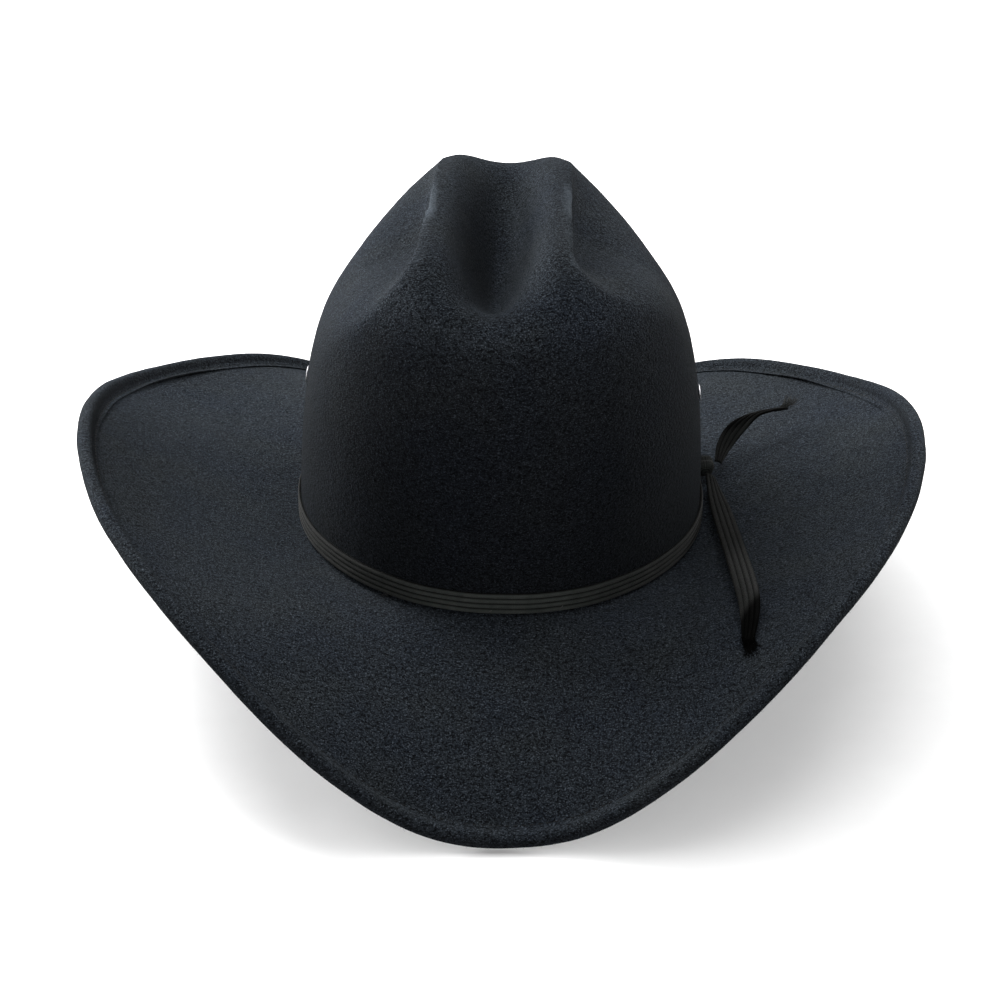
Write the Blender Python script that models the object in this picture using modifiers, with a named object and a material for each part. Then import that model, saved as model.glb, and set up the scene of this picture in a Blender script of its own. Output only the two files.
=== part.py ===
"""A cowboy hat of black felt, creased in the cattleman shape, as its separate pieces.

Metres, +Z up. The hat stands on the front and back dips of its brim: the origin is on that
surface, under the middle of the crown. -Y is the hat's front and +X the wearer's left.

Every ring of the hat follows one oval, the middle of the felt's thickness where the crown meets
the brim. A place on the hat is an angle round that oval, which is the direction that the oval's
normal points in, an offset along the normal, and a height.
"""

import bmesh
import bpy
import numpy as np
from math import acos, asin, atan2, cos, exp, hypot, log1p, pi, radians, sin
from mathutils import Matrix, Vector

# ---------------------------------------------------------------- driving dimensions, in metres

# The head oval, in the middle of the felt, for a 59 cm head
OVAL_HALF_WIDTH = 0.0875
OVAL_HALF_LENGTH = 0.1070
SEGMENTS = 48

# Felt
FELT = 0.0020
FELT_ROWS = (17, 2, 6, 5, 3)
CLEARANCE = 0.0003
BREAK_RADIUS = 0.0025

# Crown block, before it is creased: its height, and how square its shoulders are
CROWN_HEIGHT = 0.1390
CROWN_TILT = 0.034
SIDE_SHOULDER = 4.4
FRONT_SHOULDER = 9.0
BACK_SHOULDER = 6.5
TOP_SHOULDER = 3.30
SIDE_TAPER = 0.120
FRONT_LEAN = 0.017
BACK_LEAN = 0.004

# Centre crease: its two ends, its depth, and the distance of the ridges from the middle plane
CREASE_FRONT = -0.100
CREASE_BACK = 0.106
CREASE_DEPTH = 0.036
CREASE_DEEPEST = 0.34
CREASE_FADE = 1.45
CREASE_SHARE = 0.85
RIDGE_FRONT = 0.0315
RIDGE_BACK = 0.0275
RIDGE_FLARE = 0.0060
FLARE_RUN = (0.055, 0.080)
CREASE_SHIFT = -0.0020
CREASE_TURN = 0.05

# Side scoops, from each ridge out to the shoulder and from the brow to the back of the crown
SCOOP_DEPTH = 0.0150
SCOOP_SHOULDER = 0.0890
SCOOP_BROW = -0.0735
SCOOP_CORNER = 0.0400
SCOOP_SWEEP = 27.0
SCOOP_BACK = 0.112
SCOOP_DEEPEST = (0.22, 0.18)
SCOOP_FADE = (2.4, 2.3)
SCOOP_PUSH = (0.64, 0.77)
SCOOP_START = (0.46, 0.80)

# Brim: width along the felt, and the lobes of its edge's rise over the break
BRIM_WIDTH = 0.1010
BRIM_CHORD = 0.985
BRIM_CURL = 0.32
MEAN_RISE = 0.0044
SIDE_RISE = 0.0424
FRONT_RISE = 0.00665
FOUR_LOBE = -0.0100
SIX_LOBE = 0.0043
BREAK_HEIGHT = 0.0497
REST_SOFTNESS = 0.005
REST_LIFT = -0.0007

# Folded edge with a wire in it
FOLD_RADIUS = 0.0023
FLAP_WIDTH = 0.0072
FLAP_GAP = 0.00035
WIRE_RADIUS = 0.00045
SLEEVE_INNER = 0.00070
SLEEVE_OUTER = 0.00095

# Hatband: a ribbon with four ribs, its knot and its two tails
RIBBON_WIDTH = 0.0090
RIBBON_THICKNESS = 0.0010
RIB_COUNT = 4
RIB_DEPTH = 0.00025
BAND_HEIGHT = 0.0024
KNOT_ANGLE = radians(10)
KNOT_SIZE = (0.0095, 0.0088, 0.0100)
KNOT_HEIGHT = 0.0096
TACK_ANGLES = {"left": radians(-127), "middle": radians(-94), "right": radians(-72)}

# Vents, one on each side of the crown
VENT_HEIGHT = 0.056
VENT_SHIFT = -0.007
EYELET_BORE = 0.0019
EYELET_BARREL = 0.0025
EYELET_FLANGE = 0.0039

# Inside
SWEATBAND_HEIGHT = 0.034
SWEATBAND_THICKNESS = 0.0010
SWEATBAND_OFFSET = -0.0024
SWEATBAND_LEAN = -0.0008
REED_RADIUS = 0.0006
TAPE_THICKNESS = 0.0004
BOW_HEIGHT = 0.008
BOW_HALF_ANGLE = 0.145
BOW_WAIST = 0.0013
BOW_LOOP = 0.0034
BOW_THICKNESS = (0.0012, 0.0008)
TAB_ANGLE = radians(128)
TAB_SIZE = (0.014, 0.011, 0.0004)
TAB_HEIGHT = 0.007
THREAD_RADIUS = 0.00025
LINING_THICKNESS = 0.0004
LINING_FOOT = 0.024
LINING_BEND = 0.038
LINING_LEAN_START = 0.018
LINING_LEAN = 0.050
LINING_TOP = 0.078
LINING_TAPER = 0.038
SHIELD_HALF_WIDTH = 0.038
SHIELD_HALF_LENGTH = 0.052
SHIELD_THICKNESS = 0.0004


# ---------------------------------------------------------------- the hat's shape

def oval(angle, offset=0.0):
    """Point of the head oval whose normal points along the angle, moved out by the offset."""
    c = cos(angle)
    s = sin(angle)
    reach = hypot(OVAL_HALF_WIDTH * c, OVAL_HALF_LENGTH * s)
    x = OVAL_HALF_WIDTH ** 2 * c / reach + offset * c
    y = OVAL_HALF_LENGTH ** 2 * s / reach + offset * s
    return x, y


def on_oval(angle, offset, height):
    """Place by angle, offset and height over the break."""
    x, y = oval(angle, offset)
    return Vector((x, y, BREAK_HEIGHT + height))


def ridge_distance(y):
    """Distance of the two ridges from the middle plane, wide in front and narrow behind."""
    along = min(max((y - CREASE_FRONT) / (CREASE_BACK - CREASE_FRONT), 0.0), 1.0)
    flare = RIDGE_FLARE * ease(-y, *FLARE_RUN)
    return RIDGE_FRONT + (RIDGE_BACK - RIDGE_FRONT) * along + flare


def turned_in(point):
    """Across and along the crease, which is set a little askew on the crown."""
    across = point.x - CREASE_SHIFT - CREASE_TURN * point.y
    along = point.y + CREASE_TURN * point.x
    return across, along


def trough(share, deepest, fade):
    """Depth from 0 to 1 along a trough: quick to fall at its start, slow to fade at its end."""
    if not 0.0 < share < 1.0:
        return 0.0
    return share / deepest * ((1 - share) / (1 - deepest)) ** fade


def shoulders(angle):
    """How square the crown's shoulder is at an angle: over the top and down the wall."""
    s = sin(angle)
    end = FRONT_SHOULDER if s < 0 else BACK_SHOULDER
    share = s * s * (2 - s * s) if s < 0 else s * s
    return SIDE_SHOULDER + (end - SIDE_SHOULDER) * share, TOP_SHOULDER + (end - TOP_SHOULDER) * share


def crown_swings(angle):
    """Swings from the top to the break, in fine steps over the top and down the wall."""
    side, top = shoulders(angle)
    steps = [i / 120 for i in range(121)]
    return sorted([acos(u ** (side / 2)) for u in steps] + [asin(u ** (top / 2)) for u in steps], reverse=True)


def crown_point(angle, swing):
    """Point of the creased crown; swing is 0 at the break and a quarter turn at the top."""
    s = sin(angle)
    side, top = shoulders(angle)
    inward = max(cos(swing), 0.0) ** (2 / side)
    up = max(sin(swing), 0.0) ** (2 / top)
    x, y = oval(angle)
    x *= inward * (1 - SIDE_TAPER * sin(swing))
    y *= inward
    z = (CROWN_HEIGHT + CROWN_TILT * y) * up
    lean = (FRONT_LEAN if s < 0 else BACK_LEAN) * up ** 3
    y *= 1 - lean / OVAL_HALF_LENGTH
    return crease(scoop(Vector((x, y, z)), up), up)


def crease(point, up):
    """The point lowered by the centre crease."""
    x, y = turned_in(point)
    half = CREASE_SHARE * ridge_distance(y)
    if abs(x) < half:
        along = (y - CREASE_FRONT) / (CREASE_BACK - CREASE_FRONT)
        depth = CREASE_DEPTH * trough(along, CREASE_DEEPEST, CREASE_FADE)
        point.z -= depth * cos(pi / 2 * x / half) ** 2 * up ** 2
    return point


def ease(value, start, end):
    """Smooth step from 0 at the start to 1 at the end."""
    share = min(max((value - start) / (end - start), 0.0), 1.0)
    return share * share * (3 - 2 * share)


def scoop(point, up):
    """The point pushed in by the scoop on its side of the crown."""
    x, y = turned_in(point)
    side = 1 if x > 0 else -1
    reach = abs(x)
    ridge = ridge_distance(y)
    brow = SCOOP_BROW + SCOOP_SWEEP * max(reach - SCOOP_CORNER, 0.0) ** 2
    across = trough((reach - ridge) / (SCOOP_SHOULDER - ridge), SCOOP_DEEPEST[0], SCOOP_FADE[0])
    along = trough((y - brow) / (SCOOP_BACK - brow), SCOOP_DEEPEST[1], SCOOP_FADE[1])
    depth = SCOOP_DEPTH * across * along * ease(up, *SCOOP_START)
    return point - Vector((side * SCOOP_PUSH[0], 0.0, SCOOP_PUSH[1])) * depth


def edge_rise(angle):
    """Height of the brim's edge over the break: lifted sides and two dips that rest flat."""
    free = MEAN_RISE + SIDE_RISE * cos(2 * angle) - FRONT_RISE * (sin(angle) + sin(3 * angle))
    free += FOUR_LOBE * cos(4 * angle) + SIX_LOBE * cos(6 * angle)
    rest = REST_LIFT - BREAK_HEIGHT
    return rest + REST_SOFTNESS * log1p(exp((free - rest) / REST_SOFTNESS))


def brim_slopes(angle):
    """Slopes of the brim at the break and at the edge."""
    chord = asin(edge_rise(angle) / (BRIM_WIDTH * BRIM_CHORD))
    first = chord * BRIM_CURL * 2
    return first, 2 * chord - first


def break_point(angle, share):
    """Point of the small bend between the crown and the brim, from 0 at the crown to 1."""
    first, _ = brim_slopes(angle)
    heading = -pi / 2 + (first + pi / 2) * share
    return on_oval(angle, BREAK_RADIUS * (1 + sin(heading)), BREAK_RADIUS * (1 - cos(heading)))


def brim_point(angle, run):
    """Point in the middle of the brim's thickness, at a run along the felt from the break."""
    first, last = brim_slopes(angle)
    offset = BREAK_RADIUS * (1 + sin(first))
    height = BREAK_RADIUS * (1 - cos(first))
    bend = (last - first) / BRIM_WIDTH
    if abs(bend) < 1e-6:
        offset += run * cos(first)
        height += run * sin(first)
    else:
        slope = first + bend * run
        offset += (sin(slope) - sin(first)) / bend
        height += (cos(first) - cos(slope)) / bend
    return on_oval(angle, offset, height)


def brim_frame(angle, run):
    """Unit vectors at the brim: up from the felt, out across the edge, and along the edge."""
    step = 1e-4
    along = brim_point(angle + step, run) - brim_point(angle - step, run)
    outward = brim_point(angle, run + step) - brim_point(angle, run - step)
    up = outward.cross(along).normalized()
    along.normalize()
    return up, along.cross(up), along


def fold_point(angle, turn):
    """Point of the edge's fold; turn runs from 0 under the wire to a half turn over it."""
    up, outward, _ = brim_frame(angle, BRIM_WIDTH)
    centre = brim_point(angle, BRIM_WIDTH) + up * FOLD_RADIUS
    return centre + FOLD_RADIUS * (outward * sin(turn) - up * cos(turn))


def flap_point(angle, inward, lift=0.0):
    """Point of the flap that is turned in over the brim, inward from the edge."""
    up, outward, along = brim_frame(angle, BRIM_WIDTH)
    run_way = (brim_point(angle, BRIM_WIDTH) - brim_point(angle, BRIM_WIDTH - 0.001)).normalized()
    skew = along.dot(run_way)
    straight = outward.dot(run_way)
    around = (brim_point(angle + 0.001, BRIM_WIDTH) - brim_point(angle, BRIM_WIDTH)).length / 0.001
    place_angle = angle + inward * skew / straight / around
    run = BRIM_WIDTH - inward / straight
    close = ease(inward, 0.0, 0.55 * FLAP_WIDTH)
    gap = 2 * FOLD_RADIUS + (FELT + FLAP_GAP - 2 * FOLD_RADIUS) * close
    up, _, _ = brim_frame(place_angle, run)
    return brim_point(place_angle, run) + up * (gap + lift)


# ---------------------------------------------------------------- making objects

def start_collection(name):
    collection = bpy.data.collections.new(name)
    bpy.context.scene.collection.children.link(collection)
    return collection


def material(name, colour, roughness, metallic=0.0):
    """Principled material with one colour."""
    made = bpy.data.materials.new(name)
    made.use_nodes = True
    shader = made.node_tree.nodes["Principled BSDF"]
    shader.inputs["Base Color"].default_value = (*colour, 1.0)
    shader.inputs["Roughness"].default_value = roughness
    shader.inputs["Metallic"].default_value = metallic
    return made


def add_object(name, data, surface, collection):
    """Object in a collection with one material."""
    made = bpy.data.objects.new(name, data)
    made.data.materials.append(surface)
    collection.objects.link(made)
    return made


def settle(made):
    """Turn an object's modifiers or curve into its plain mesh."""
    bpy.context.view_layer.update()
    graph = bpy.context.evaluated_depsgraph_get()
    mesh = bpy.data.meshes.new_from_object(made.evaluated_get(graph))
    made.modifiers.clear()
    made.data = mesh
    return made


def turned(name, profile, surface, collection, closed=True, steps=SEGMENTS):
    """A profile of (radius, height) turned round Z by a Screw modifier."""
    mesh = bpy.data.meshes.new(name)
    count = len(profile)
    links = [(i, i + 1) for i in range(count - 1)]
    if closed:
        links.append((count - 1, 0))
    mesh.from_pydata([(radius, 0.0, height) for radius, height in profile], links, [])
    made = add_object(name, mesh, surface, collection)
    screw = made.modifiers.new("turn", "SCREW")
    screw.steps = steps
    screw.render_steps = steps
    screw.use_merge_vertices = True
    screw.merge_threshold = 0.00001
    screw.use_smooth_shade = True
    return made


def shape_vertices(made, place):
    """Move each vertex of a turned object to place(angle, radius, height)."""
    for vertex in made.data.vertices:
        x, y, z = vertex.co
        vertex.co = place(atan2(y, x), hypot(x, y), z)
    made.data.update()
    return made


def ring(name, section, surface, collection):
    """Closed ring on the head oval from a section of (offset, height), outer side downward."""
    middle = 0.1
    profile = [(middle + offset, height) for offset, height in section]
    made = settle(turned(name, profile, surface, collection))
    return shape_vertices(made, lambda angle, radius, height: on_oval(angle, radius - middle, height))


def round_section(offset, height, radius, sides):
    """Round section for a ring, turned so that its outer side runs downward."""
    turns = [pi / 2 - 2 * pi * i / sides for i in range(sides)]
    return [(offset + radius * cos(turn), height + radius * sin(turn)) for turn in turns]


def wire(name, points, radius, surface, collection, closed=False, resolution=1):
    """Round wire or thread through points."""
    curve = bpy.data.curves.new(name, "CURVE")
    curve.dimensions = "3D"
    curve.bevel_depth = radius
    curve.bevel_resolution = resolution
    curve.use_fill_caps = not closed
    spline = curve.splines.new("POLY")
    spline.points.add(len(points) - 1)
    for target, point in zip(spline.points, points):
        target.co = (*point, 1.0)
    spline.use_cyclic_u = closed
    return add_object(name, curve, surface, collection)


def loft(name, sections, surface, collection):
    """Closed body through sections with equal numbers of points, with flat ends."""
    shell = bmesh.new()
    rows = [[shell.verts.new(point) for point in section] for section in sections]
    for row, after in zip(rows, rows[1:]):
        for i, corner in enumerate(row):
            j = (i + 1) % len(row)
            shell.faces.new((corner, row[j], after[j], after[i]))
    shell.faces.new(rows[0])
    shell.faces.new(rows[-1])
    bmesh.ops.recalc_face_normals(shell, faces=shell.faces)
    mesh = bpy.data.meshes.new(name)
    shell.to_mesh(mesh)
    shell.free()
    mesh.shade_smooth()
    mesh.set_sharp_from_angle(angle=radians(35))
    return add_object(name, mesh, surface, collection)


def smooth_route(points, count):
    """Points at even steps of parameter on the smooth curve through a few route points."""
    ends = [points[0] * 2 - points[1], *points, points[-1] * 2 - points[-2]]
    route = []
    for i in range(count):
        place = (len(points) - 1) * i / (count - 1)
        leg = min(int(place), len(points) - 2)
        t = place - leg
        a, b, c, d = ends[leg:leg + 4]
        route.append(0.5 * (2 * b + (c - a) * t + (2 * a - 5 * b + 4 * c - d) * t ** 2
                            + (3 * b - a - 3 * c + d) * t ** 3))
    return route


# ---------------------------------------------------------------- felt and its edge

def make_felt(surface, collection, cutters):
    """Crown, brim, fold and flap as one sheet of felt, solidified, with two vent holes."""
    rows = [0.0]
    for start, count in enumerate(FELT_ROWS):
        rows += [start + i / count for i in range(1, count + 1)]
    profile = [(row, 0.0) for row in rows]
    felt = settle(turned("felt_body", profile, surface, collection, closed=False))
    shape_vertices(felt, place_felt())
    sheet = felt.modifiers.new("felt thickness", "SOLIDIFY")
    sheet.thickness = FELT
    sheet.offset = 0.0
    sheet.use_even_offset = True
    sheet.use_quality_normals = True
    settle(felt)
    for side in (1, -1):
        cutter = vent_cutter(side, cutters)
        hole = felt.modifiers.new("vent hole", "BOOLEAN")
        hole.operation = "DIFFERENCE"
        hole.solver = "EXACT"
        hole.object = cutter
    felt.data.shade_smooth()
    return felt


def place_felt():
    """The function that takes (angle, row) of the flat disc of felt to the hat's shape."""
    lines = {}

    def crown_line(angle):
        if angle not in lines:
            points = [crown_point(angle, swing) for swing in crown_swings(angle)]
            lengths = [0.0]
            for before, after in zip(points, points[1:]):
                lengths.append(lengths[-1] + (after - before).length)
            lines[angle] = np.array(points), np.array(lengths) / lengths[-1]
        return lines[angle]

    def place(angle, row, _):
        if row < 1.0001:
            points, lengths = crown_line(angle)
            spot = [np.interp(row, lengths, points[:, axis]) for axis in range(3)]
            return Vector(spot) + Vector((0, 0, BREAK_HEIGHT + BREAK_RADIUS))
        if row < 2.0001:
            return break_point(angle, row - 1)
        if row < 3.0001:
            return brim_point(angle, BRIM_WIDTH * (row - 2))
        if row < 4.0001:
            return fold_point(angle, pi * (row - 3))
        return flap_point(angle, FLAP_WIDTH * (row - 4))

    return place


def vent_frame(side):
    """Middle of the felt at a vent and the way out of it, with the front and up directions."""
    angle = side * VENT_SHIFT / OVAL_HALF_LENGTH if side > 0 else pi + VENT_SHIFT / OVAL_HALF_LENGTH
    swings = [pi / 2 * i / 400 for i in range(401)]
    points = [crown_point(angle, swing) for swing in swings]
    index = min(range(1, 400), key=lambda i: abs(points[i].z - VENT_HEIGHT))
    rise = (points[index + 1] - points[index - 1]).normalized()
    ahead = crown_point(angle + 0.02, swings[index]) - crown_point(angle - 0.02, swings[index])
    outward = ahead.cross(rise).normalized()
    middle = points[index] + Vector((0, 0, BREAK_HEIGHT + BREAK_RADIUS))
    return middle, outward


def aim(made, middle, direction):
    """Put an object's origin at a point and its Z along a direction."""
    made.matrix_world = Matrix.Translation(middle) @ direction.to_track_quat("Z", "Y").to_matrix().to_4x4()
    return made


def vent_cutter(side, cutters):
    mesh = bpy.data.meshes.new("vent_cutter")
    shape = bmesh.new()
    radius = EYELET_BARREL + CLEARANCE
    bmesh.ops.create_cone(shape, cap_ends=True, segments=16, radius1=radius, radius2=radius, depth=0.012)
    shape.to_mesh(mesh)
    shape.free()
    cutter = bpy.data.objects.new("vent_cutter", mesh)
    cutters.objects.link(cutter)
    cutter.hide_render = True
    cutter.display_type = "WIRE"
    return aim(cutter, *vent_frame(side))


def make_vents(metal, dark_metal, collection):
    """Eyelet in each vent hole, closed over a washer inside."""
    outside = FELT / 2 + 2 * CLEARANCE
    inside = -FELT / 2 - 2 * CLEARANCE
    sheet = 0.0005
    washer = 0.0005
    inner_lip = EYELET_BARREL + 0.0009
    eyelet = [
        (EYELET_BORE, outside + sheet),
        (EYELET_FLANGE - 0.0004, outside + sheet),
        (EYELET_FLANGE, outside),
        (EYELET_BARREL, outside),
        (EYELET_BARREL, inside - washer - CLEARANCE),
        (inner_lip, inside - washer - CLEARANCE),
        (inner_lip, inside - washer - CLEARANCE - sheet),
        (EYELET_BORE, inside - washer - CLEARANCE - sheet),
    ]
    ring_outer = EYELET_FLANGE + 0.0006
    ring_inner = EYELET_BARREL + CLEARANCE
    plate = [
        (ring_inner, inside),
        (ring_outer, inside),
        (ring_outer, inside - washer),
        (ring_inner, inside - washer),
    ]
    for side, word in ((1, "left"), (-1, "right")):
        aim(turned("vent_eyelet_" + word, eyelet, metal, collection, steps=20), *vent_frame(side))
        aim(turned("vent_washer_" + word, plate, dark_metal, collection, steps=20), *vent_frame(side))


def make_edge(wire_surface, sleeve_surface, thread_surface, collection):
    """Wire in the fold, open at the back, the sleeve over its ends, and the fold's thread."""
    step = 2 * pi / SEGMENTS
    first = SEGMENTS // 4
    spots = []
    for i in range(SEGMENTS + 1):
        angle = (first + i) * step
        up, _, _ = brim_frame(angle, BRIM_WIDTH)
        spots.append(brim_point(angle, BRIM_WIDTH) + up * FOLD_RADIUS)
    gap_start, gap_end = spots[0].lerp(spots[1], 0.46), spots[0].lerp(spots[1], 0.54)
    wire("brim_edge_wire", [gap_end, *spots[1:], gap_start], WIRE_RADIUS, wire_surface, collection)
    tube = [
        (SLEEVE_OUTER, 0.006),
        (SLEEVE_OUTER, -0.006),
        (SLEEVE_INNER, -0.006),
        (SLEEVE_INNER, 0.006),
    ]
    sleeve = turned("wire_sleeve", tube, sleeve_surface, collection, steps=12)
    aim(sleeve, spots[0].lerp(spots[1], 0.5), spots[1] - spots[0])
    seam = FLAP_WIDTH * 0.76
    lift = FELT / 2 + CLEARANCE + THREAD_RADIUS
    stitches = [flap_point(i * step, seam, lift) for i in range(SEGMENTS)]
    wire("edge_thread", stitches, THREAD_RADIUS, thread_surface, collection, closed=True)


# ---------------------------------------------------------------- hatband

def ribbon_face(width, crest):
    """Outer side of the ribbed ribbon as (across, height), from one edge to the other."""
    groove = crest - RIB_DEPTH
    rib = width / RIB_COUNT
    face = [(0.0, groove)]
    for i in range(RIB_COUNT):
        face.append(((i + 0.22) * rib, crest))
        face.append(((i + 0.78) * rib, crest))
        face.append(((i + 1) * rib, groove))
    return face


def make_band(ribbon, thread, collection):
    """Ribbon round the crown and the tacks that hold its lower edge."""
    inner = FELT / 2 + CLEARANCE
    face = ribbon_face(RIBBON_WIDTH, inner + RIBBON_THICKNESS)
    top = BAND_HEIGHT + RIBBON_WIDTH
    section = [(offset, top - across) for across, offset in face]
    section += [(inner, BAND_HEIGHT), (inner, top)]
    ring("hatband_ribbon", section, ribbon, collection)
    proud = inner + RIBBON_THICKNESS + CLEARANCE + THREAD_RADIUS
    for word, angle in TACK_ANGLES.items():
        foot = on_oval(angle, proud, BAND_HEIGHT + 0.0012)
        head = on_oval(angle + 0.012, proud, BAND_HEIGHT + 0.0036)
        wire("band_tack_" + word, [foot, head], THREAD_RADIUS, thread, collection)


def make_knot(ribbon, collection):
    """Knot of the ribbon, a rounded block against the band."""
    mesh = bpy.data.meshes.new("band_knot")
    block = bmesh.new()
    bmesh.ops.create_cube(block, size=1.0)
    bmesh.ops.scale(block, vec=KNOT_SIZE, verts=block.verts)
    block.to_mesh(mesh)
    block.free()
    knot = add_object("band_knot", mesh, ribbon, collection)
    offset = FELT / 2 + RIBBON_THICKNESS + 2 * CLEARANCE + KNOT_SIZE[0] / 2
    knot.location = on_oval(KNOT_ANGLE, offset, KNOT_HEIGHT)
    knot.rotation_euler = (0, 0, KNOT_ANGLE)
    edge = knot.modifiers.new("round", "BEVEL")
    edge.width = 0.0026
    edge.segments = 3
    mesh.shade_smooth()
    return knot


def make_tail(name, stops, count, ribbon, collection):
    """Ribbon tail through stops of (point, facing, width); its origin is at its root."""
    route = smooth_route([Vector(point) for point, _, _ in stops], count)
    faces = smooth_route([Vector(facing) for _, facing, _ in stops], count)
    widths = smooth_route([Vector((width, 0, 0)) for _, _, width in stops], count)
    root = route[0]
    sections = []
    for i, point in enumerate(route):
        before = route[max(i - 1, 0)]
        after = route[min(i + 1, count - 1)]
        ahead = (after - before).normalized()
        across = ahead.cross(faces[i]).normalized()
        out = across.cross(ahead)
        width = widths[i].x
        top = ribbon_face(width, RIBBON_THICKNESS / 2)
        outline = top + [(width, -RIBBON_THICKNESS / 2), (0.0, -RIBBON_THICKNESS / 2)]
        sections.append([point - root + across * (u - width / 2) + out * v for u, v in outline])
    tail = loft(name, sections, ribbon, collection)
    tail.location = root
    return tail


def make_tails(ribbon, collection):
    """Front tail lying on the brim and back tail standing off it."""
    front = [
        ((0.0955, 0.0140, 0.0588), (0.50, -0.30, 0.80), 0.0054),
        ((0.0960, 0.0010, 0.0580), (0.30, -0.10, 0.95), 0.0072),
        ((0.0965, -0.0200, 0.0590), (0.05, 0.00, 1.00), 0.0092),
        ((0.0968, -0.0500, 0.0618), (-0.05, 0.00, 1.00), 0.0096),
        ((0.0970, -0.0800, 0.0650), (-0.10, 0.00, 1.00), 0.0096),
        ((0.0970, -0.1050, 0.0675), (-0.20, 0.00, 0.98), 0.0096),
        ((0.0968, -0.1240, 0.0683), (-0.30, 0.00, 0.95), 0.0090),
        ((0.0958, -0.1370, 0.0665), (-0.30, -0.20, 0.93), 0.0078),
        ((0.0943, -0.1470, 0.0624), (-0.20, -0.30, 0.93), 0.0062),
    ]
    back = [
        ((0.1002, 0.0230, 0.0605), (0.00, -0.90, 0.42), 0.0034),
        ((0.1032, 0.0335, 0.0648), (0.00, -0.85, 0.52), 0.0070),
        ((0.1085, 0.0420, 0.0702), (0.00, -0.35, 0.94), 0.0085),
        ((0.1165, 0.0480, 0.0745), (-0.05, 0.25, 0.97), 0.0088),
        ((0.1250, 0.0520, 0.0755), (-0.08, 0.42, 0.91), 0.0085),
        ((0.1325, 0.0550, 0.0752), (-0.08, 0.45, 0.89), 0.0070),
    ]
    make_tail("ribbon_tail_front", front, 15, ribbon, collection)
    make_tail("ribbon_tail_back", back, 11, ribbon, collection)


# ---------------------------------------------------------------- inside of the crown

def make_sweatband(leather, reed, tape, thread, bow, collection):
    """Sweatband with its reed, tape, thread, back bow and size tab."""
    reed_offset = SWEATBAND_OFFSET - SWEATBAND_THICKNESS / 2
    tape_inner = REED_RADIUS + CLEARANCE
    tape_outer = tape_inner + TAPE_THICKNESS
    reed_height = 0.0010
    foot = reed_height + tape_outer + CLEARANCE
    inner = SWEATBAND_OFFSET - SWEATBAND_THICKNESS
    head = inner + SWEATBAND_LEAN
    section = [
        (SWEATBAND_OFFSET + SWEATBAND_LEAN, foot + SWEATBAND_HEIGHT),
        (SWEATBAND_OFFSET, foot),
        (inner, foot),
        (head, foot + SWEATBAND_HEIGHT),
    ]
    ring("sweatband", section, leather, collection)
    ring("sweatband_reed", round_section(reed_offset, reed_height, REED_RADIUS, 6), reed, collection)
    channel = [
        (reed_offset + tape_outer, reed_height + tape_inner),
        (reed_offset + tape_outer, reed_height - tape_outer),
        (reed_offset - tape_outer, reed_height - tape_outer),
        (reed_offset - tape_outer, reed_height + tape_outer),
        (reed_offset + 0.0004, reed_height + tape_outer),
        (reed_offset + 0.0004, reed_height + tape_inner),
        (reed_offset - tape_inner, reed_height + tape_inner),
        (reed_offset - tape_inner, reed_height - tape_inner),
        (reed_offset + tape_inner, reed_height - tape_inner),
        (reed_offset + tape_inner, reed_height + tape_inner),
    ]
    ring("reed_tape", channel, tape, collection)
    stitch = round_section(inner - CLEARANCE - THREAD_RADIUS, foot + 0.0022, THREAD_RADIUS, 5)
    ring("sweatband_thread", stitch, thread, collection)
    make_bow(head, foot + BOW_HEIGHT, bow, collection)
    make_size_tab(head, foot + TAB_HEIGHT, tape, collection)


def make_size_tab(offset, height, surface, collection):
    """Small tab of thin tape on the sweatband, bent with it."""
    width, tall, thick = TAB_SIZE
    half = width / 2 / OVAL_HALF_WIDTH
    outer = offset - 2 * CLEARANCE
    inner = outer - thick
    sections = []
    for i in range(5):
        at = TAB_ANGLE - half + 2 * half * i / 4
        corners = ((outer, height), (outer, height + tall), (inner, height + tall), (inner, height))
        sections.append([on_oval(at, reach, rise) for reach, rise in corners])
    return loft("size_tab", sections, surface, collection)


def make_bow(offset, height, surface, collection):
    """Little bow at the back of the sweatband: two loops and a waist, bent with the band."""
    outer = offset - 2 * CLEARANCE
    sections = []
    for i in range(17):
        side = (i - 8) / 8
        at = pi / 2 + side * BOW_HALF_ANGLE
        tall = BOW_WAIST + BOW_LOOP * sin(pi * min(abs(side), 0.9) / 1.25) ** 2
        inner = outer - BOW_THICKNESS[0] - BOW_THICKNESS[1] * sin(pi * abs(side)) ** 2
        corners = ((outer, -tall), (outer, tall), (inner, tall * 0.8), (inner, -tall * 0.8))
        sections.append([on_oval(at, reach, height + rise) for reach, rise in corners])
    return loft("sweatband_bow", sections, surface, collection)


def lining_offset(height):
    """Offset of the lining's outer face: tucked behind the sweatband, then tapering in."""
    along = (height - LINING_BEND) / (LINING_TOP - LINING_BEND)
    start = -FELT / 2 - 2 * CLEARANCE - LINING_LEAN * max(height - LINING_LEAN_START, 0.0)
    return start - LINING_TAPER * max(along, 0.0) ** 1.1


def make_lining(satin, plastic, collection):
    """Side band and tip of the lining, and the clear shield under the tip."""
    heights = [LINING_TOP + (LINING_BEND - LINING_TOP) * i / 4 for i in range(5)] + [LINING_FOOT]
    outer = [(lining_offset(height), height) for height in heights]
    inner = [(offset - LINING_THICKNESS, height) for offset, height in reversed(outer)]
    ring("lining_side_band", outer + inner, satin, collection)
    rim = lining_offset(LINING_TOP)
    top = LINING_TOP + CLEARANCE + 2 * LINING_THICKNESS
    disc("lining_tip", rim, top, LINING_THICKNESS, satin, collection)
    shield_top = top - LINING_THICKNESS - CLEARANCE
    shield_disc("tip_shield", shield_top, plastic, collection)


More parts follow.
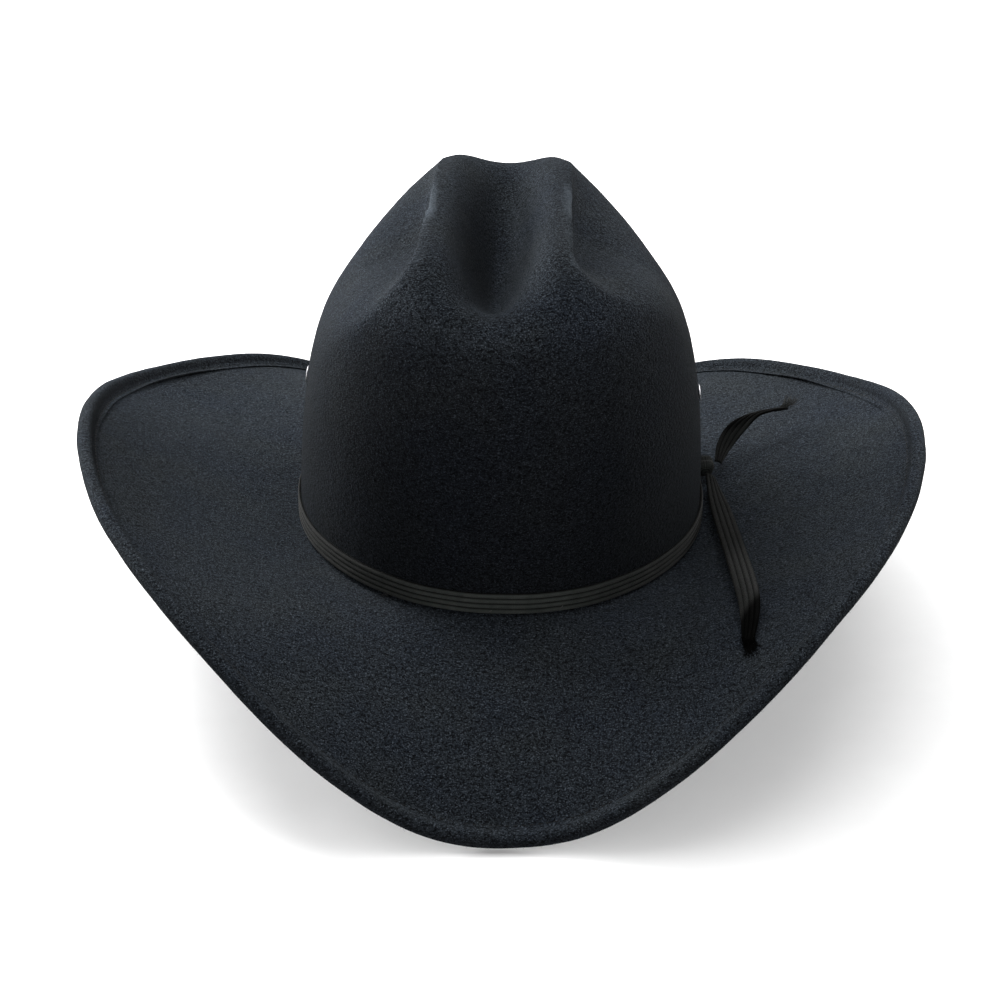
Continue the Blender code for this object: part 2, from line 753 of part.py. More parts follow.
def disc(name, rim, top, thick, surface, collection):
    """Flat oval plate whose rim has an offset from the head oval."""
    foot = top - thick
    profile = [(0.0, top), (0.5, top), (1.0, top), (1.0, foot), (0.5, foot), (0.0, foot)]
    made = settle(turned(name, profile, surface, collection, closed=False))

    def place(angle, share, height):
        x, y = oval(angle, rim)
        return Vector((x * share, y * share, BREAK_HEIGHT + height))

    return shape_vertices(made, place)


def shield_disc(name, top, surface, collection):
    """Flat oval plate of the shield's own size."""
    profile = [(0.0, top), (1.0, top), (1.0, top - SHIELD_THICKNESS), (0.0, top - SHIELD_THICKNESS)]
    made = settle(turned(name, profile, surface, collection, closed=False))

    def place(angle, share, height):
        x = SHIELD_HALF_WIDTH * share * cos(angle)
        y = SHIELD_HALF_LENGTH * share * sin(angle)
        return Vector((x, y, BREAK_HEIGHT + height))

    return shape_vertices(made, place)


# ---------------------------------------------------------------- the whole hat

def main():
    for thing in list(bpy.data.objects):
        bpy.data.objects.remove(thing, do_unlink=True)
    hat = start_collection("cowboy_hat")
    cutters = start_collection("cutters")
    felt = material("black felt", (0.012, 0.013, 0.018), 0.95)
    ribbon = material("black ribbon", (0.016, 0.017, 0.017), 0.65)
    thread = material("black thread", (0.015, 0.015, 0.016), 0.8)
    steel = material("steel wire", (0.35, 0.35, 0.36), 0.4, 1.0)
    gunmetal = material("dark metal", (0.09, 0.09, 0.10), 0.35, 1.0)
    leather = material("sweatband leather", (0.030, 0.022, 0.018), 0.55)
    reed = material("reed plastic", (0.55, 0.53, 0.48), 0.5)
    tape = material("black tape", (0.020, 0.020, 0.021), 0.8)
    satin = material("black satin", (0.014, 0.014, 0.018), 0.4)
    plastic = material("clear plastic", (0.75, 0.78, 0.80), 0.15)
    make_felt(felt, hat, cutters)
    make_edge(steel, gunmetal, thread, hat)
    make_vents(gunmetal, gunmetal, hat)
    make_band(ribbon, thread, hat)
    make_knot(ribbon, hat)
    make_tails(ribbon, hat)
    make_sweatband(leather, reed, tape, thread, ribbon, hat)
    make_lining(satin, plastic, hat)


main()
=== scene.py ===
"""The looks of a black felt cowboy hat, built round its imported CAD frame.

Metres, +Z up, -Y the hat's front and +X the wearer's left. The hat's shape follows the same
formulas as its design: a place on it is an angle round the head oval, which is the direction
that the oval's normal points in, an offset along the normal, and a height over the break, where
the crown meets the brim. Arrays of angles and heights go through the formulas at once.
"""

import bmesh
import bpy
import numpy as np
from math import cos, pi, radians, sin
from mathutils import Matrix, Vector, noise


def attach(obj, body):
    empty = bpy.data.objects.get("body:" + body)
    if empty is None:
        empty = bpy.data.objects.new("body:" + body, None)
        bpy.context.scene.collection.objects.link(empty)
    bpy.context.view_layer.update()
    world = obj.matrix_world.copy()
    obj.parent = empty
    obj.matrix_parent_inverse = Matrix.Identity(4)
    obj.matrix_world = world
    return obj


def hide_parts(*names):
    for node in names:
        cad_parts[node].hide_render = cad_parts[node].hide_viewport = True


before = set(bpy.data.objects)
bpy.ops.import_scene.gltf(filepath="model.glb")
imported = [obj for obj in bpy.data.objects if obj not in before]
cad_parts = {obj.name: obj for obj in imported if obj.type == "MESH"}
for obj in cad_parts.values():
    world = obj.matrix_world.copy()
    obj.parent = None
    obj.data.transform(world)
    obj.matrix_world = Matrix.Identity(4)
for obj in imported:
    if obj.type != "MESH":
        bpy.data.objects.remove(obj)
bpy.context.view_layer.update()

# ---------------------------------------------------------------- dimensions, as in the design

OVAL_HALF_WIDTH = 0.0875
OVAL_HALF_LENGTH = 0.1070
FELT = 0.0020
CLEARANCE = 0.0003
BREAK_RADIUS = 0.0025

CROWN_HEIGHT = 0.1390
CROWN_TILT = 0.034
SIDE_SHOULDER = 4.4
FRONT_SHOULDER = 9.0
BACK_SHOULDER = 6.5
TOP_SHOULDER = 3.30
SIDE_TAPER = 0.120
FRONT_LEAN = 0.017
BACK_LEAN = 0.004

CREASE_FRONT = -0.100
CREASE_BACK = 0.106
CREASE_DEPTH = 0.036
CREASE_SHARE = 0.85
CREASE_DEEPEST = 0.34
CREASE_FADE = 1.45
RIDGE_FRONT = 0.0315
RIDGE_BACK = 0.0275
RIDGE_FLARE = 0.0060
FLARE_RUN = (0.055, 0.080)
CREASE_SHIFT = -0.0020
CREASE_TURN = 0.05

SCOOP_DEPTH = 0.0150
SCOOP_SHOULDER = 0.0890
SCOOP_BROW = -0.0735
SCOOP_CORNER = 0.0400
SCOOP_SWEEP = 27.0
SCOOP_BACK = 0.112
SCOOP_DEEPEST = (0.22, 0.18)
SCOOP_FADE = (2.4, 2.3)
SCOOP_START = (0.46, 0.80)
SCOOP_PUSH = (0.64, 0.77)

BRIM_WIDTH = 0.1010
BRIM_CHORD = 0.985
BRIM_CURL = 0.32
MEAN_RISE = 0.0044
SIDE_RISE = 0.0424
FRONT_RISE = 0.00665
FOUR_LOBE = -0.0100
SIX_LOBE = 0.0043
BREAK_HEIGHT = 0.0497
REST_SOFTNESS = 0.005
REST_LIFT = -0.0007

FOLD_RADIUS = 0.0023
FLAP_WIDTH = 0.0072
FLAP_GAP = 0.00035
SEAM_RUN = 0.76 * FLAP_WIDTH

RIBBON_WIDTH = 0.0090
RIBBON_THICKNESS = 0.0010
RIB_COUNT = 4
BAND_HEIGHT = 0.0024
KNOT_ANGLE = radians(10)
KNOT_SIZE = (0.0095, 0.0088, 0.0100)
KNOT_HEIGHT = 0.0096
TACK_ANGLES = {"left": radians(-127), "middle": radians(-94), "right": radians(-72)}

VENT_HEIGHT = 0.056
VENT_SHIFT = -0.007
EYELET_BORE = 0.0019
EYELET_BARREL = 0.0025
EYELET_FLANGE = 0.0039

SWEATBAND_HEIGHT = 0.034
SWEATBAND_THICKNESS = 0.0010
SWEATBAND_OFFSET = -0.0024
SWEATBAND_LEAN = -0.0008
REED_RADIUS = 0.0006
REED_HEIGHT = 0.0010
TAPE_THICKNESS = 0.0004
THREAD_RADIUS = 0.00025
LINING_THICKNESS = 0.0004
LINING_FOOT = 0.024
LINING_BEND = 0.038
LINING_LEAN_START = 0.018
LINING_LEAN = 0.050
LINING_TOP = 0.078
LINING_TAPER = 0.038
SHIELD_HALF_WIDTH = 0.038
SHIELD_HALF_LENGTH = 0.052
SHIELD_THICKNESS = 0.0004

# Looks: painted highlight on the brow and on the ridges' bends, fibres, threads and waves of the cloth
BROW_HIGHLIGHT_START = 0.1575
BROW_HIGHLIGHT_FADE = 0.0125
# Where the painted highlight on the ridges' edges falls: how sharp the bend, how high and how far out.
RIDGE_HIGHLIGHT_BEND = (80.0, 190.0)
RIDGE_HIGHLIGHT_HEIGHT = (0.110, 0.135)
RIDGE_HIGHLIGHT_REACH = (0.0262, 0.0290)
LOOSE_SPOTS = ((radians(153), 0.17, 1.0), (radians(32), 0.11, 0.8), (radians(174), 0.09, 0.45))
LOOSE_LIFT = 0.0011
FELT_WAVES = ((0.030, 0.00035), (0.008, 0.00012))
FLAP_WAVES = ((0.035, 3, 1.0), (0.03, 11, 0.0), (0.015, 29, 0.0))
FLAP_SKIVE = 1.75
GROOVE_WIDTH = 0.00055
GROOVE_DEPTH = 0.00024
FIBRE_COUNT = 15000
FIBRE_LENGTH = (0.0005, 0.0014)
FIBRE_RADIUS = 0.000035
STITCH_DEPTH = 0.00030
EDGE_STITCH = 0.0024
EDGE_STITCH_GAP = 0.0007
BAND_STITCH = 0.0023
BAND_STITCH_PITCH = 0.0030
BAND_STITCH_RISE = 0.0022
RIB_DEPTH = 0.00060
RIBBON_WAVES = ((0.00022, 2, 0.6), (0.00012, 7, 0.0), (0.00006, 19, 0.0))
RIBBON_PUFF = ((0.00010, 5, 1.0),)
TAIL_CUP = 0.0007
KNOT_TILT = radians(24)
FRAY_RADIUS = 0.00013
FRAY_CLEARANCE = 0.0005
LEATHER_WAVES = ((1.0, 9, 0.7), (0.6, 17, 0.0))
LEATHER_RIPPLE = 0.00022
PLEAT_COUNT = 72
PLEAT_DEPTH = 0.0011
BOW_HALF_ANGLE = 0.145
TAB_ANGLE = radians(128)
TAB_HALF_WIDTH = 0.007
TAB_HALF_HEIGHT = 0.0055
EYELET_SHEET = 0.0005
EYELET_LIP = 0.0009
VENT_STEPS = 64

# Camera and light
CAMERA_DISTANCE = 1.0
CAMERA_ELEVATION = radians(24.91)
CAMERA_YAW = radians(0.83)
CAMERA_ROLL = radians(0.90)
CAMERA_AIM = 0.05222
CAMERA_LENS = 80.45
CAMERA_SHIFT = -0.00033
FLOOR_HALF = 6.0
FLOOR_DROP = 0.0006
SKY = 0.66
LIGHTS = {
    "key": ((-0.9, 0.9, 1.5), (0, 0, 0.08), 0.9, 41),
    "top": ((0.1, 0.5, 2.3), (0, 0, 0.08), 2.2, 36),
    "low_left": ((-1.5, 1.3, 0.6), (0, 0, 0.0), 0.9, 72),
    "low_right": ((1.7, 1.1, 0.6), (0, 0, 0.0), 0.9, 38),
}


# ---------------------------------------------------------------- the hat's shape

def join_axes(x, y, z):
    return np.stack(np.broadcast_arrays(x, y, z), axis=-1).astype(float)


def unit(vectors):
    return vectors / np.linalg.norm(vectors, axis=-1, keepdims=True)


def signed_power(value, power):
    """Power of a value's size, with its sign."""
    return np.sign(value) * np.abs(value) ** power


def lengths_along(points):
    """Length along a line of points, from 0 at its start to each of them."""
    return np.concatenate([[0.0], np.cumsum(np.linalg.norm(np.diff(points, axis=0), axis=1))])


def waves(angle, table):
    """Sum of waves round the hat, each of a size, a count and a shift."""
    return sum(size * np.sin(count * angle + shift) for size, count, shift in table)


def way_out(angle):
    """Unit vectors out of the head oval."""
    return join_axes(np.cos(angle), np.sin(angle), 0.0)


def oval(angle, offset=0.0):
    """Points of the head oval whose normals point along the angles, moved out by the offset."""
    c = np.cos(angle)
    s = np.sin(angle)
    reach = np.hypot(OVAL_HALF_WIDTH * c, OVAL_HALF_LENGTH * s)
    x = OVAL_HALF_WIDTH ** 2 * c / reach + offset * c
    y = OVAL_HALF_LENGTH ** 2 * s / reach + offset * s
    return x, y


def on_oval(angle, offset, height):
    """Places by angle, offset and height over the break."""
    x, y = oval(np.asarray(angle, float), offset)
    return join_axes(x, y, BREAK_HEIGHT + np.asarray(height, float))


def ease(value, start, end):
    """Smooth step from 0 at the start to 1 at the end."""
    share = np.clip((value - start) / (end - start), 0.0, 1.0)
    return share * share * (3 - 2 * share)


def trough(share, deepest, fade):
    """Depth from 0 to 1 along a trough: quick to fall at its start, slow to fade at its end."""
    inside = np.clip(share, 0.0, 1.0)
    return inside / deepest * ((1 - inside) / (1 - deepest)) ** fade


def ridge_distance(y):
    """Distance of the two ridges from the middle plane, wide in front and narrow behind."""
    along = np.clip((y - CREASE_FRONT) / (CREASE_BACK - CREASE_FRONT), 0.0, 1.0)
    flare = RIDGE_FLARE * ease(-y, *FLARE_RUN)
    return RIDGE_FRONT + (RIDGE_BACK - RIDGE_FRONT) * along + flare


def turned_in(x, y):
    """Across and along the crease, which is set a little askew on the crown."""
    return x - CREASE_SHIFT - CREASE_TURN * y, y + CREASE_TURN * x


def shoulders(angle):
    """How square the crown's shoulder is at an angle: over the top and down the wall."""
    s = np.sin(angle)
    end = np.where(s < 0, FRONT_SHOULDER, BACK_SHOULDER)
    share = np.where(s < 0, s * s * (2 - s * s), s * s)
    return SIDE_SHOULDER + (end - SIDE_SHOULDER) * share, TOP_SHOULDER + (end - TOP_SHOULDER) * share


def crown_points(angle, swing):
    """Points of the creased crown; swing is 0 at the break and a quarter turn at the top."""
    s = np.sin(angle)
    side, top = shoulders(angle)
    inward = np.maximum(np.cos(swing), 0.0) ** (2 / side)
    up = np.maximum(np.sin(swing), 0.0) ** (2 / top)
    x, y = oval(angle)
    x = x * inward * (1 - SIDE_TAPER * np.sin(swing))
    y = y * inward
    z = (CROWN_HEIGHT + CROWN_TILT * y) * up
    lean = np.where(s < 0, FRONT_LEAN, BACK_LEAN) * up ** 3
    y = y * (1 - lean / OVAL_HALF_LENGTH)
    x, y, z = scooped(x, y, z, up)
    z = z - crease_depth(x, y, up)
    return join_axes(x, y, z + BREAK_HEIGHT + BREAK_RADIUS)


def crease_depth(x, y, up):
    """Drop of the centre crease."""
    x, y = turned_in(x, y)
    half = CREASE_SHARE * ridge_distance(y)
    along = (y - CREASE_FRONT) / (CREASE_BACK - CREASE_FRONT)
    across = np.where(np.abs(x) < half, np.cos(pi / 2 * x / half) ** 2, 0.0)
    return CREASE_DEPTH * trough(along, CREASE_DEEPEST, CREASE_FADE) * across * up ** 2


def scooped(x, y, z, up):
    """Places pushed in by the scoop on their side of the crown."""
    across, along = turned_in(x, y)
    reach = np.abs(across)
    ridge = ridge_distance(along)
    brow = SCOOP_BROW + SCOOP_SWEEP * np.maximum(reach - SCOOP_CORNER, 0.0) ** 2
    depth = trough((reach - ridge) / (SCOOP_SHOULDER - ridge), SCOOP_DEEPEST[0], SCOOP_FADE[0])
    depth = depth * trough((along - brow) / (SCOOP_BACK - brow), SCOOP_DEEPEST[1], SCOOP_FADE[1])
    depth = SCOOP_DEPTH * depth * ease(up, *SCOOP_START)
    return x - np.sign(across) * SCOOP_PUSH[0] * depth, y, z - SCOOP_PUSH[1] * depth


def edge_rise(angle):
    """Height of the brim's edge over the break: lifted sides and two dips that rest flat."""
    free = MEAN_RISE + SIDE_RISE * np.cos(2 * angle)
    free = free - FRONT_RISE * (np.sin(angle) + np.sin(3 * angle))
    free = free + FOUR_LOBE * np.cos(4 * angle) + SIX_LOBE * np.cos(6 * angle)
    rest = REST_LIFT - BREAK_HEIGHT
    return rest + REST_SOFTNESS * np.log1p(np.exp((free - rest) / REST_SOFTNESS))


def brim_slopes(angle):
    """Slopes of the brim at the break and at the edge."""
    chord = np.arcsin(edge_rise(angle) / (BRIM_WIDTH * BRIM_CHORD))
    first = chord * BRIM_CURL * 2
    return first, 2 * chord - first


def break_points(angle, share):
    """Points of the small bend between the crown and the brim, from 0 at the crown to 1."""
    first, _ = brim_slopes(angle)
    heading = -pi / 2 + (first + pi / 2) * share
    return on_oval(angle, BREAK_RADIUS * (1 + np.sin(heading)), BREAK_RADIUS * (1 - np.cos(heading)))


def brim_points(angle, run):
    """Points in the middle of the brim's thickness, at a run along the felt from the break."""
    first, last = brim_slopes(angle)
    bend = (last - first) / BRIM_WIDTH
    bend = np.where(np.abs(bend) < 1e-6, 1e-6, bend)
    slope = first + bend * run
    offset = BREAK_RADIUS * (1 + np.sin(first)) + (np.sin(slope) - np.sin(first)) / bend
    height = BREAK_RADIUS * (1 - np.cos(first)) + (np.cos(first) - np.cos(slope)) / bend
    return on_oval(angle, offset, height)


def brim_frame(angle, run):
    """Unit vectors at the brim: up from the felt, out across the edge, and along the edge."""
    step = 1e-4
    along = brim_points(angle + step, run) - brim_points(angle - step, run)
    outward = brim_points(angle, run + step) - brim_points(angle, run - step)
    up = unit(np.cross(outward, along))
    along = unit(along)
    return up, np.cross(along, up), along


def fold_points(angle, turn):
    """Points of the edge's fold; turn runs from 0 under the wire to a half turn over it."""
    up, outward, _ = brim_frame(angle, BRIM_WIDTH)
    centre = brim_points(angle, BRIM_WIDTH) + up * FOLD_RADIUS
    turn = np.asarray(turn, float)[..., None]
    return centre + FOLD_RADIUS * (outward * np.sin(turn) - up * np.cos(turn))


def flap_points(angle, inward, lift=0.0):
    """Points of the flap that is turned in over the brim, inward from the edge."""
    up, outward, along = brim_frame(angle, BRIM_WIDTH)
    edge = brim_points(angle, BRIM_WIDTH)
    run_way = unit(edge - brim_points(angle, BRIM_WIDTH - 0.001))
    skew = (along * run_way).sum(-1)
    straight = (outward * run_way).sum(-1)
    around = np.linalg.norm(brim_points(angle + 0.001, BRIM_WIDTH) - edge, axis=-1) / 0.001
    place_angle = angle + inward * skew / straight / around
    run = BRIM_WIDTH - inward / straight
    close = ease(inward, 0.0, 0.55 * FLAP_WIDTH)
    gap = 2 * FOLD_RADIUS + (FELT + FLAP_GAP - 2 * FOLD_RADIUS) * close
    up, _, _ = brim_frame(place_angle, run)
    return brim_points(place_angle, run) + up * (gap + lift)[..., None]


# ---------------------------------------------------------------- meshes

def add_to_scene(made):
    bpy.context.scene.collection.objects.link(made)
    return made


def link(made, replaces=(), body="hat"):
    """Put a piece in the scene on its body, and hide the nodes it stands for."""
    if made.name not in bpy.context.scene.collection.objects:
        add_to_scene(made)
    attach(made, body)
    if replaces:
        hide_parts(*replaces)
    return made


def grid_faces(rows, columns, close_rows=False, close_columns=False, start=0):
    """Quads of a grid of vertices numbered row by row."""
    i = np.arange(rows if close_rows else rows - 1)
    j = np.arange(columns if close_columns else columns - 1)
    i, j = np.meshgrid(i, j, indexing="ij")
    a = i * columns + j
    b = i * columns + (j + 1) % columns
    c = (i + 1) % rows * columns + (j + 1) % columns
    d = (i + 1) % rows * columns + j
    return (np.stack([a, b, c, d], axis=-1).reshape(-1, 4) + start).tolist()


def mesh_object(name, points, faces, surface, corner_map=None):
    """Smooth object from points and faces; corner_map gives each vertex a place on the cloth."""
    mesh = bpy.data.meshes.new(name)
    mesh.from_pydata(np.asarray(points).reshape(-1, 3).tolist(), [], faces)
    mesh.validate()
    if corner_map is not None:
        layer = mesh.uv_layers.new(name="cloth")
        corners = np.empty(len(mesh.loops), int)
        mesh.loops.foreach_get("vertex_index", corners)
        layer.data.foreach_set("uv", np.asarray(corner_map, float).reshape(-1, 2)[corners].ravel())
    mesh.shade_smooth()
    mesh.materials.append(surface)
    return bpy.data.objects.new(name, mesh)


def set_mark(made, name, values):
    """Give each vertex a value for the material: the felt's painted highlight on its ridges' edges, or a
    ribbon's rib from groove 0 to top 1, which on the tails also carries painted shade.
    """
    layer = made.data.attributes.new(name, "FLOAT", "POINT")
    layer.data.foreach_set("value", np.asarray(values, float).ravel())


def outward_faces(made, weld=0.0):
    """Turn a closed mesh's faces outward, with corners closer than the weld made one."""
    shape = bmesh.new()
    shape.from_mesh(made.data)
    if weld:
        bmesh.ops.remove_doubles(shape, verts=shape.verts, dist=weld)
    bmesh.ops.recalc_face_normals(shape, faces=shape.faces)
    shape.to_mesh(made.data)
    shape.free()
    return made


def tube_grid(rows, columns):
    """Places from -1 to 1 along a tube and turns round it, as a grid."""
    turns = np.linspace(0, 2 * pi, columns, endpoint=False)
    return np.meshgrid(np.linspace(-1, 1, rows), turns, indexing="ij")


def tube_faces(rows, columns):
    """Faces of a tube's grid, with one face at each end."""
    faces = grid_faces(rows, columns, close_columns=True)
    faces.append(list(range(columns)))
    faces.append(list(range(rows * columns - 1, (rows - 1) * columns - 1, -1)))
    return faces


def dish_mesh(rings, tops):
    """Points and faces of a round sheet: rings that close, and the middles of its two faces."""
    count, columns = rings.shape[:2]
    faces = grid_faces(count, columns, close_rows=True)
    points = rings.reshape(-1, 3)
    middle = len(points)
    for i in range(count):
        after = (i + 1) % count
        faces.append([middle, after * columns, i * columns])
        faces.append([middle + 1, i * columns + columns - 1, after * columns + columns - 1])
    return np.vstack([points, *tops]), faces


def stitch_angles(angles, line, length, pitch):
    """Angles along each stitch of a seam whose line is known at many angles."""
    lengths = lengths_along(line)
    count = int(lengths[-1] / pitch)
    starts = np.arange(count) * lengths[-1] / count
    return [np.interp(start + np.linspace(0, length, 7), lengths, angles) for start in starts]


def closed_ring(name, section, angles, surface, place=None):
    """Ring round the oval from a closed section of (offset, height) arrays.

    The cloth map runs round the ring in metres, and across the section. One extra column of
    corners at the seam keeps the map whole.
    """
    offsets, heights = (np.asarray(part, float) for part in section)
    grid_angle, grid_offset = np.meshgrid(angles, offsets, indexing="ij")
    _, grid_height = np.meshgrid(angles, heights, indexing="ij")
    points = on_oval(grid_angle, grid_offset, grid_height)
    if place is not None:
        points = place(points, grid_angle, grid_offset, grid_height)
    count = len(offsets)
    faces = grid_faces(len(angles), count, close_rows=True, close_columns=True)
    made = mesh_object(name, points, faces, surface)
    along = lengths_along(np.vstack([points[:, 0], points[:1, 0]]))
    edges = np.hypot(np.diff(offsets, append=offsets[0]), np.diff(heights, append=heights[0]))
    across = np.concatenate([[0.0], np.cumsum(edges)])
    layer = made.data.uv_layers.new(name="cloth")
    values = np.empty((len(faces), 4, 2))
    row = np.repeat(np.arange(len(angles)), count)
    column = np.tile(np.arange(count), len(angles))
    for corner, (ahead, aside) in enumerate([(0, 0), (0, 1), (1, 1), (1, 0)]):
        values[:, corner] = np.stack([along[row + ahead], across[column + aside]], -1)
    layer.data.foreach_set("uv", values.ravel())
    return outward_faces(made)


def tube_mesh(paths, radius, sides, taper=None):
    """Points and faces of round threads along several paths, each with closed ends."""
    points, faces = [], []
    turns = np.linspace(0, 2 * pi, sides, endpoint=False)
    for path in paths:
        path = np.asarray(path, float)
        ahead = unit(np.gradient(path, axis=0))
        guide = np.array([0.0, 0.0, 1.0]) if abs(ahead[0][2]) < 0.9 else np.array([1.0, 0.0, 0.0])
        side = unit(np.cross(ahead, guide))
        top = np.cross(side, ahead)
        girth = np.full(len(path), radius) if taper is None else radius * np.asarray(taper)
        ring = (np.cos(turns)[None, :, None] * side[:, None] + np.sin(turns)[None, :, None] * top[:, None])
        ring = path[:, None] + ring * girth[:, None, None]
        start = sum(len(block) for block in points)
        points.append(ring.reshape(-1, 3))
        faces += grid_faces(len(path), sides, close_columns=True, start=start)
        faces.append(list(range(start + sides - 1, start - 1, -1)))
        last = start + (len(path) - 1) * sides
        faces.append(list(range(last, last + sides)))
    return np.vstack(points), faces


def lumps(points, size, seed):
    """Smooth noise from -1 to 1 at points, with lumps of about that size."""
    shift = Vector((seed * 3.1, seed * 1.7, seed * 0.9))
    flat = np.asarray(points).reshape(-1, 3)
    values = [noise.noise(Vector(point) / size + shift) for point in flat]
    return np.array(values).reshape(np.asarray(points).shape[:-1])


# ---------------------------------------------------------------- materials

def rgba(colour):
    """Opaque colour from three numbers, or from a single one for a grey."""
    return (*colour, 1.0) if isinstance(colour, tuple) else (colour, colour, colour, 1.0)


class Paint:
    """A material that is built up node by node on the object's own coordinates."""

    def __init__(self, name, colour, roughness, metallic=0.0):
        self.made = bpy.data.materials.new(name)
        self.made.use_nodes = True
        self.tree = self.made.node_tree
        self.shader = self.tree.nodes["Principled BSDF"]
        self.place = self.node("TexCoord").outputs["Object"]
        self.fill(self.shader, {"Base Color": rgba(colour), "Roughness": roughness, "Metallic": metallic})

    def fill(self, node, values):
        """Give a node's inputs plain values, or link them to outputs."""
        for key, value in values.items():
            if isinstance(value, bpy.types.NodeSocket):
                self.tree.links.new(value, node.inputs[key])
            else:
                node.inputs[key].default_value = value

    def node(self, kind, values=None, **settings):
        """Node with its settings by name and its inputs filled."""
        node = self.tree.nodes.new("ShaderNode" + kind)
        for key, value in settings.items():
            setattr(node, key, value)
        self.fill(node, values or {})
        return node

    def noise(self, scale, detail=3.0, roughness=0.55, stretch=(1, 1, 1), distortion=0.0):
        """Noise texture, stretched along the axes."""
        place = self.node("Mapping", {"Vector": self.place, "Scale": stretch}).outputs["Vector"]
        values = {"Vector": place, "Scale": scale, "Detail": detail, "Roughness": roughness}
        return self.node("TexNoise", {**values, "Distortion": distortion}).outputs["Fac"]

    def threads(self, direction, scale, distortion, detail_scale=1.0):
        """Bands of thread along one direction of the cloth map."""
        cloth = self.node("UVMap", uv_map="cloth").outputs["UV"]
        values = {"Vector": cloth, "Scale": scale, "Distortion": distortion, "Detail Scale": detail_scale}
        return self.node("TexWave", values, wave_type="BANDS", bands_direction=direction).outputs["Fac"]

    def facing(self):
        """The X, Y and Z of the surface's own normal."""
        normal = self.node("TexCoord").outputs["Normal"]
        return self.node("SeparateXYZ", {"Vector": normal}).outputs

    def mark(self, name):
        """A value that the mesh carries at each of its vertices."""
        return self.node("Attribute", attribute_name=name).outputs["Fac"]

    def ramp(self, source, *stops):
        """Colour ramp with stops of (place, colour)."""
        node = self.node("ValToRGB", {"Fac": source})
        elements = node.color_ramp.elements
        while len(elements) < len(stops):
            elements.new(0.5)
        for element, (place, colour) in zip(elements, stops):
            element.position = place
            element.color = rgba(colour)
        return node.outputs["Color"]

    def math(self, operation, first, second, third=0.0, clamp=False):
        values = {0: first, 1: second, 2: third}
        return self.node("Math", values, operation=operation, use_clamp=clamp).outputs[0]

    def mix(self, share, first, second, blend="MIX"):
        """Mix of two colours."""
        values = {0: share, 6: first, 7: second}
        return self.node("Mix", values, data_type="RGBA", blend_type=blend).outputs[2]

    def times(self, base, *factors):
        """A colour multiplied by others."""
        for factor in factors:
            base = self.mix(1.0, base, factor, "MULTIPLY")
        return base

    def coat(self, base, bumps=(), values=None):
        """The material with its colour, its bumps of (height, depth in metres) and other inputs."""
        self.fill(self.shader, {"Base Color": base, **(values or {})})
        below = {}
        for height, depth in bumps:
            bump = self.node("Bump", {"Strength": 1.0, "Distance": depth, "Height": height, **below})
            below = {"Normal": bump.outputs["Normal"]}
        self.fill(self.shader, below)
        return self.made


def felt_material():
    """Black wool felt with a navy cast: mottled nap, short pale fibres and a soft sheen.

    Painted shade darkens the faces that don't look up and those turned to +X, away from the key light;
    a painted highlight brightens the upper front of the brow and the edges of the ridges.
    """
    felt = Paint("black_felt", (0.012, 0.014, 0.020), 1.0)
    mottle = felt.noise(540, 2, 0.60, (1, 1, 1.7))
    fibre = felt.noise(1100, 1, 0.5, (1, 1, 1.5), 0.3)
    fleck = felt.noise(1700, 1, 0.5, (1, 1, 1.4))
    tone = felt.ramp(mottle, (0.38, (0.0018, 0.0021, 0.0025)), (0.62, (0.0142, 0.0167, 0.0195)))
    hair = felt.ramp(fibre, (0.43, (0.0012, 0.0014, 0.0017)), (0.59, (0.0205, 0.0240, 0.0281)))
    tint = felt.ramp(felt.noise(28, 4, 0.6), (0.35, (0.84, 0.88, 0.98)), (0.65, (1.06, 1.04, 0.98)))
    spark = felt.ramp(fleck, (0.58, 0.0), (0.72, (0.040, 0.046, 0.054)))
    base = felt.mix(1.0, felt.times(felt.mix(0.55, tone, hair), tint), spark, "ADD")
    facing = felt.facing()
    # Painted shade: faces that don't look up are darkened, down to 0.42 on upright and downward faces.
    facing_shade_stops = ((0.05, (0.42, 0.42, 0.44)), (0.55, (0.90, 0.92, 0.95)), (0.85, (0.94, 0.97, 1.0)))
    painted_facing_shade = felt.ramp(facing["Z"], *facing_shade_stops)
    # Painted shade on faces turned to +X, the side away from the key light.
    painted_far_side_shade = felt.ramp(facing["X"], (0.40, 1.0), (0.90, (0.42, 0.41, 0.41)))
    # Painted highlight on the brow: places high up that don't face up are brightened, up to about twice.
    height = felt.node("SeparateXYZ", {"Vector": felt.place}).outputs["Z"]
    high = felt.math("MULTIPLY_ADD", height, 1 / BROW_HIGHLIGHT_FADE, -BROW_HIGHLIGHT_START / BROW_HIGHLIGHT_FADE, True)
    upright = felt.math("SUBTRACT", 0.80, facing["Z"])
    brow = felt.math("MULTIPLY_ADD", felt.math("MULTIPLY", high, upright), 1.25, 1.0)
    # Painted highlight along the edges of the ridges, from the mesh's mark.
    painted_ridge_highlight = felt.ramp(felt.mark("paling"), (0.0, 0.0), (1.0, (0.026, 0.031, 0.036)))
    base = felt.mix(1.0, felt.times(base, painted_facing_shade, painted_far_side_shade, brow), painted_ridge_highlight, "ADD")
    sheen = {"Specular IOR Level": 0.02, "Sheen Weight": 0.022, "Sheen Roughness": 0.55}
    sheen["Sheen Tint"] = (0.78, 0.90, 1.0, 1.0)
    return felt.coat(base, [(mottle, 0.0010), (fibre, 0.0006), (fleck, 0.0002)], sheen)


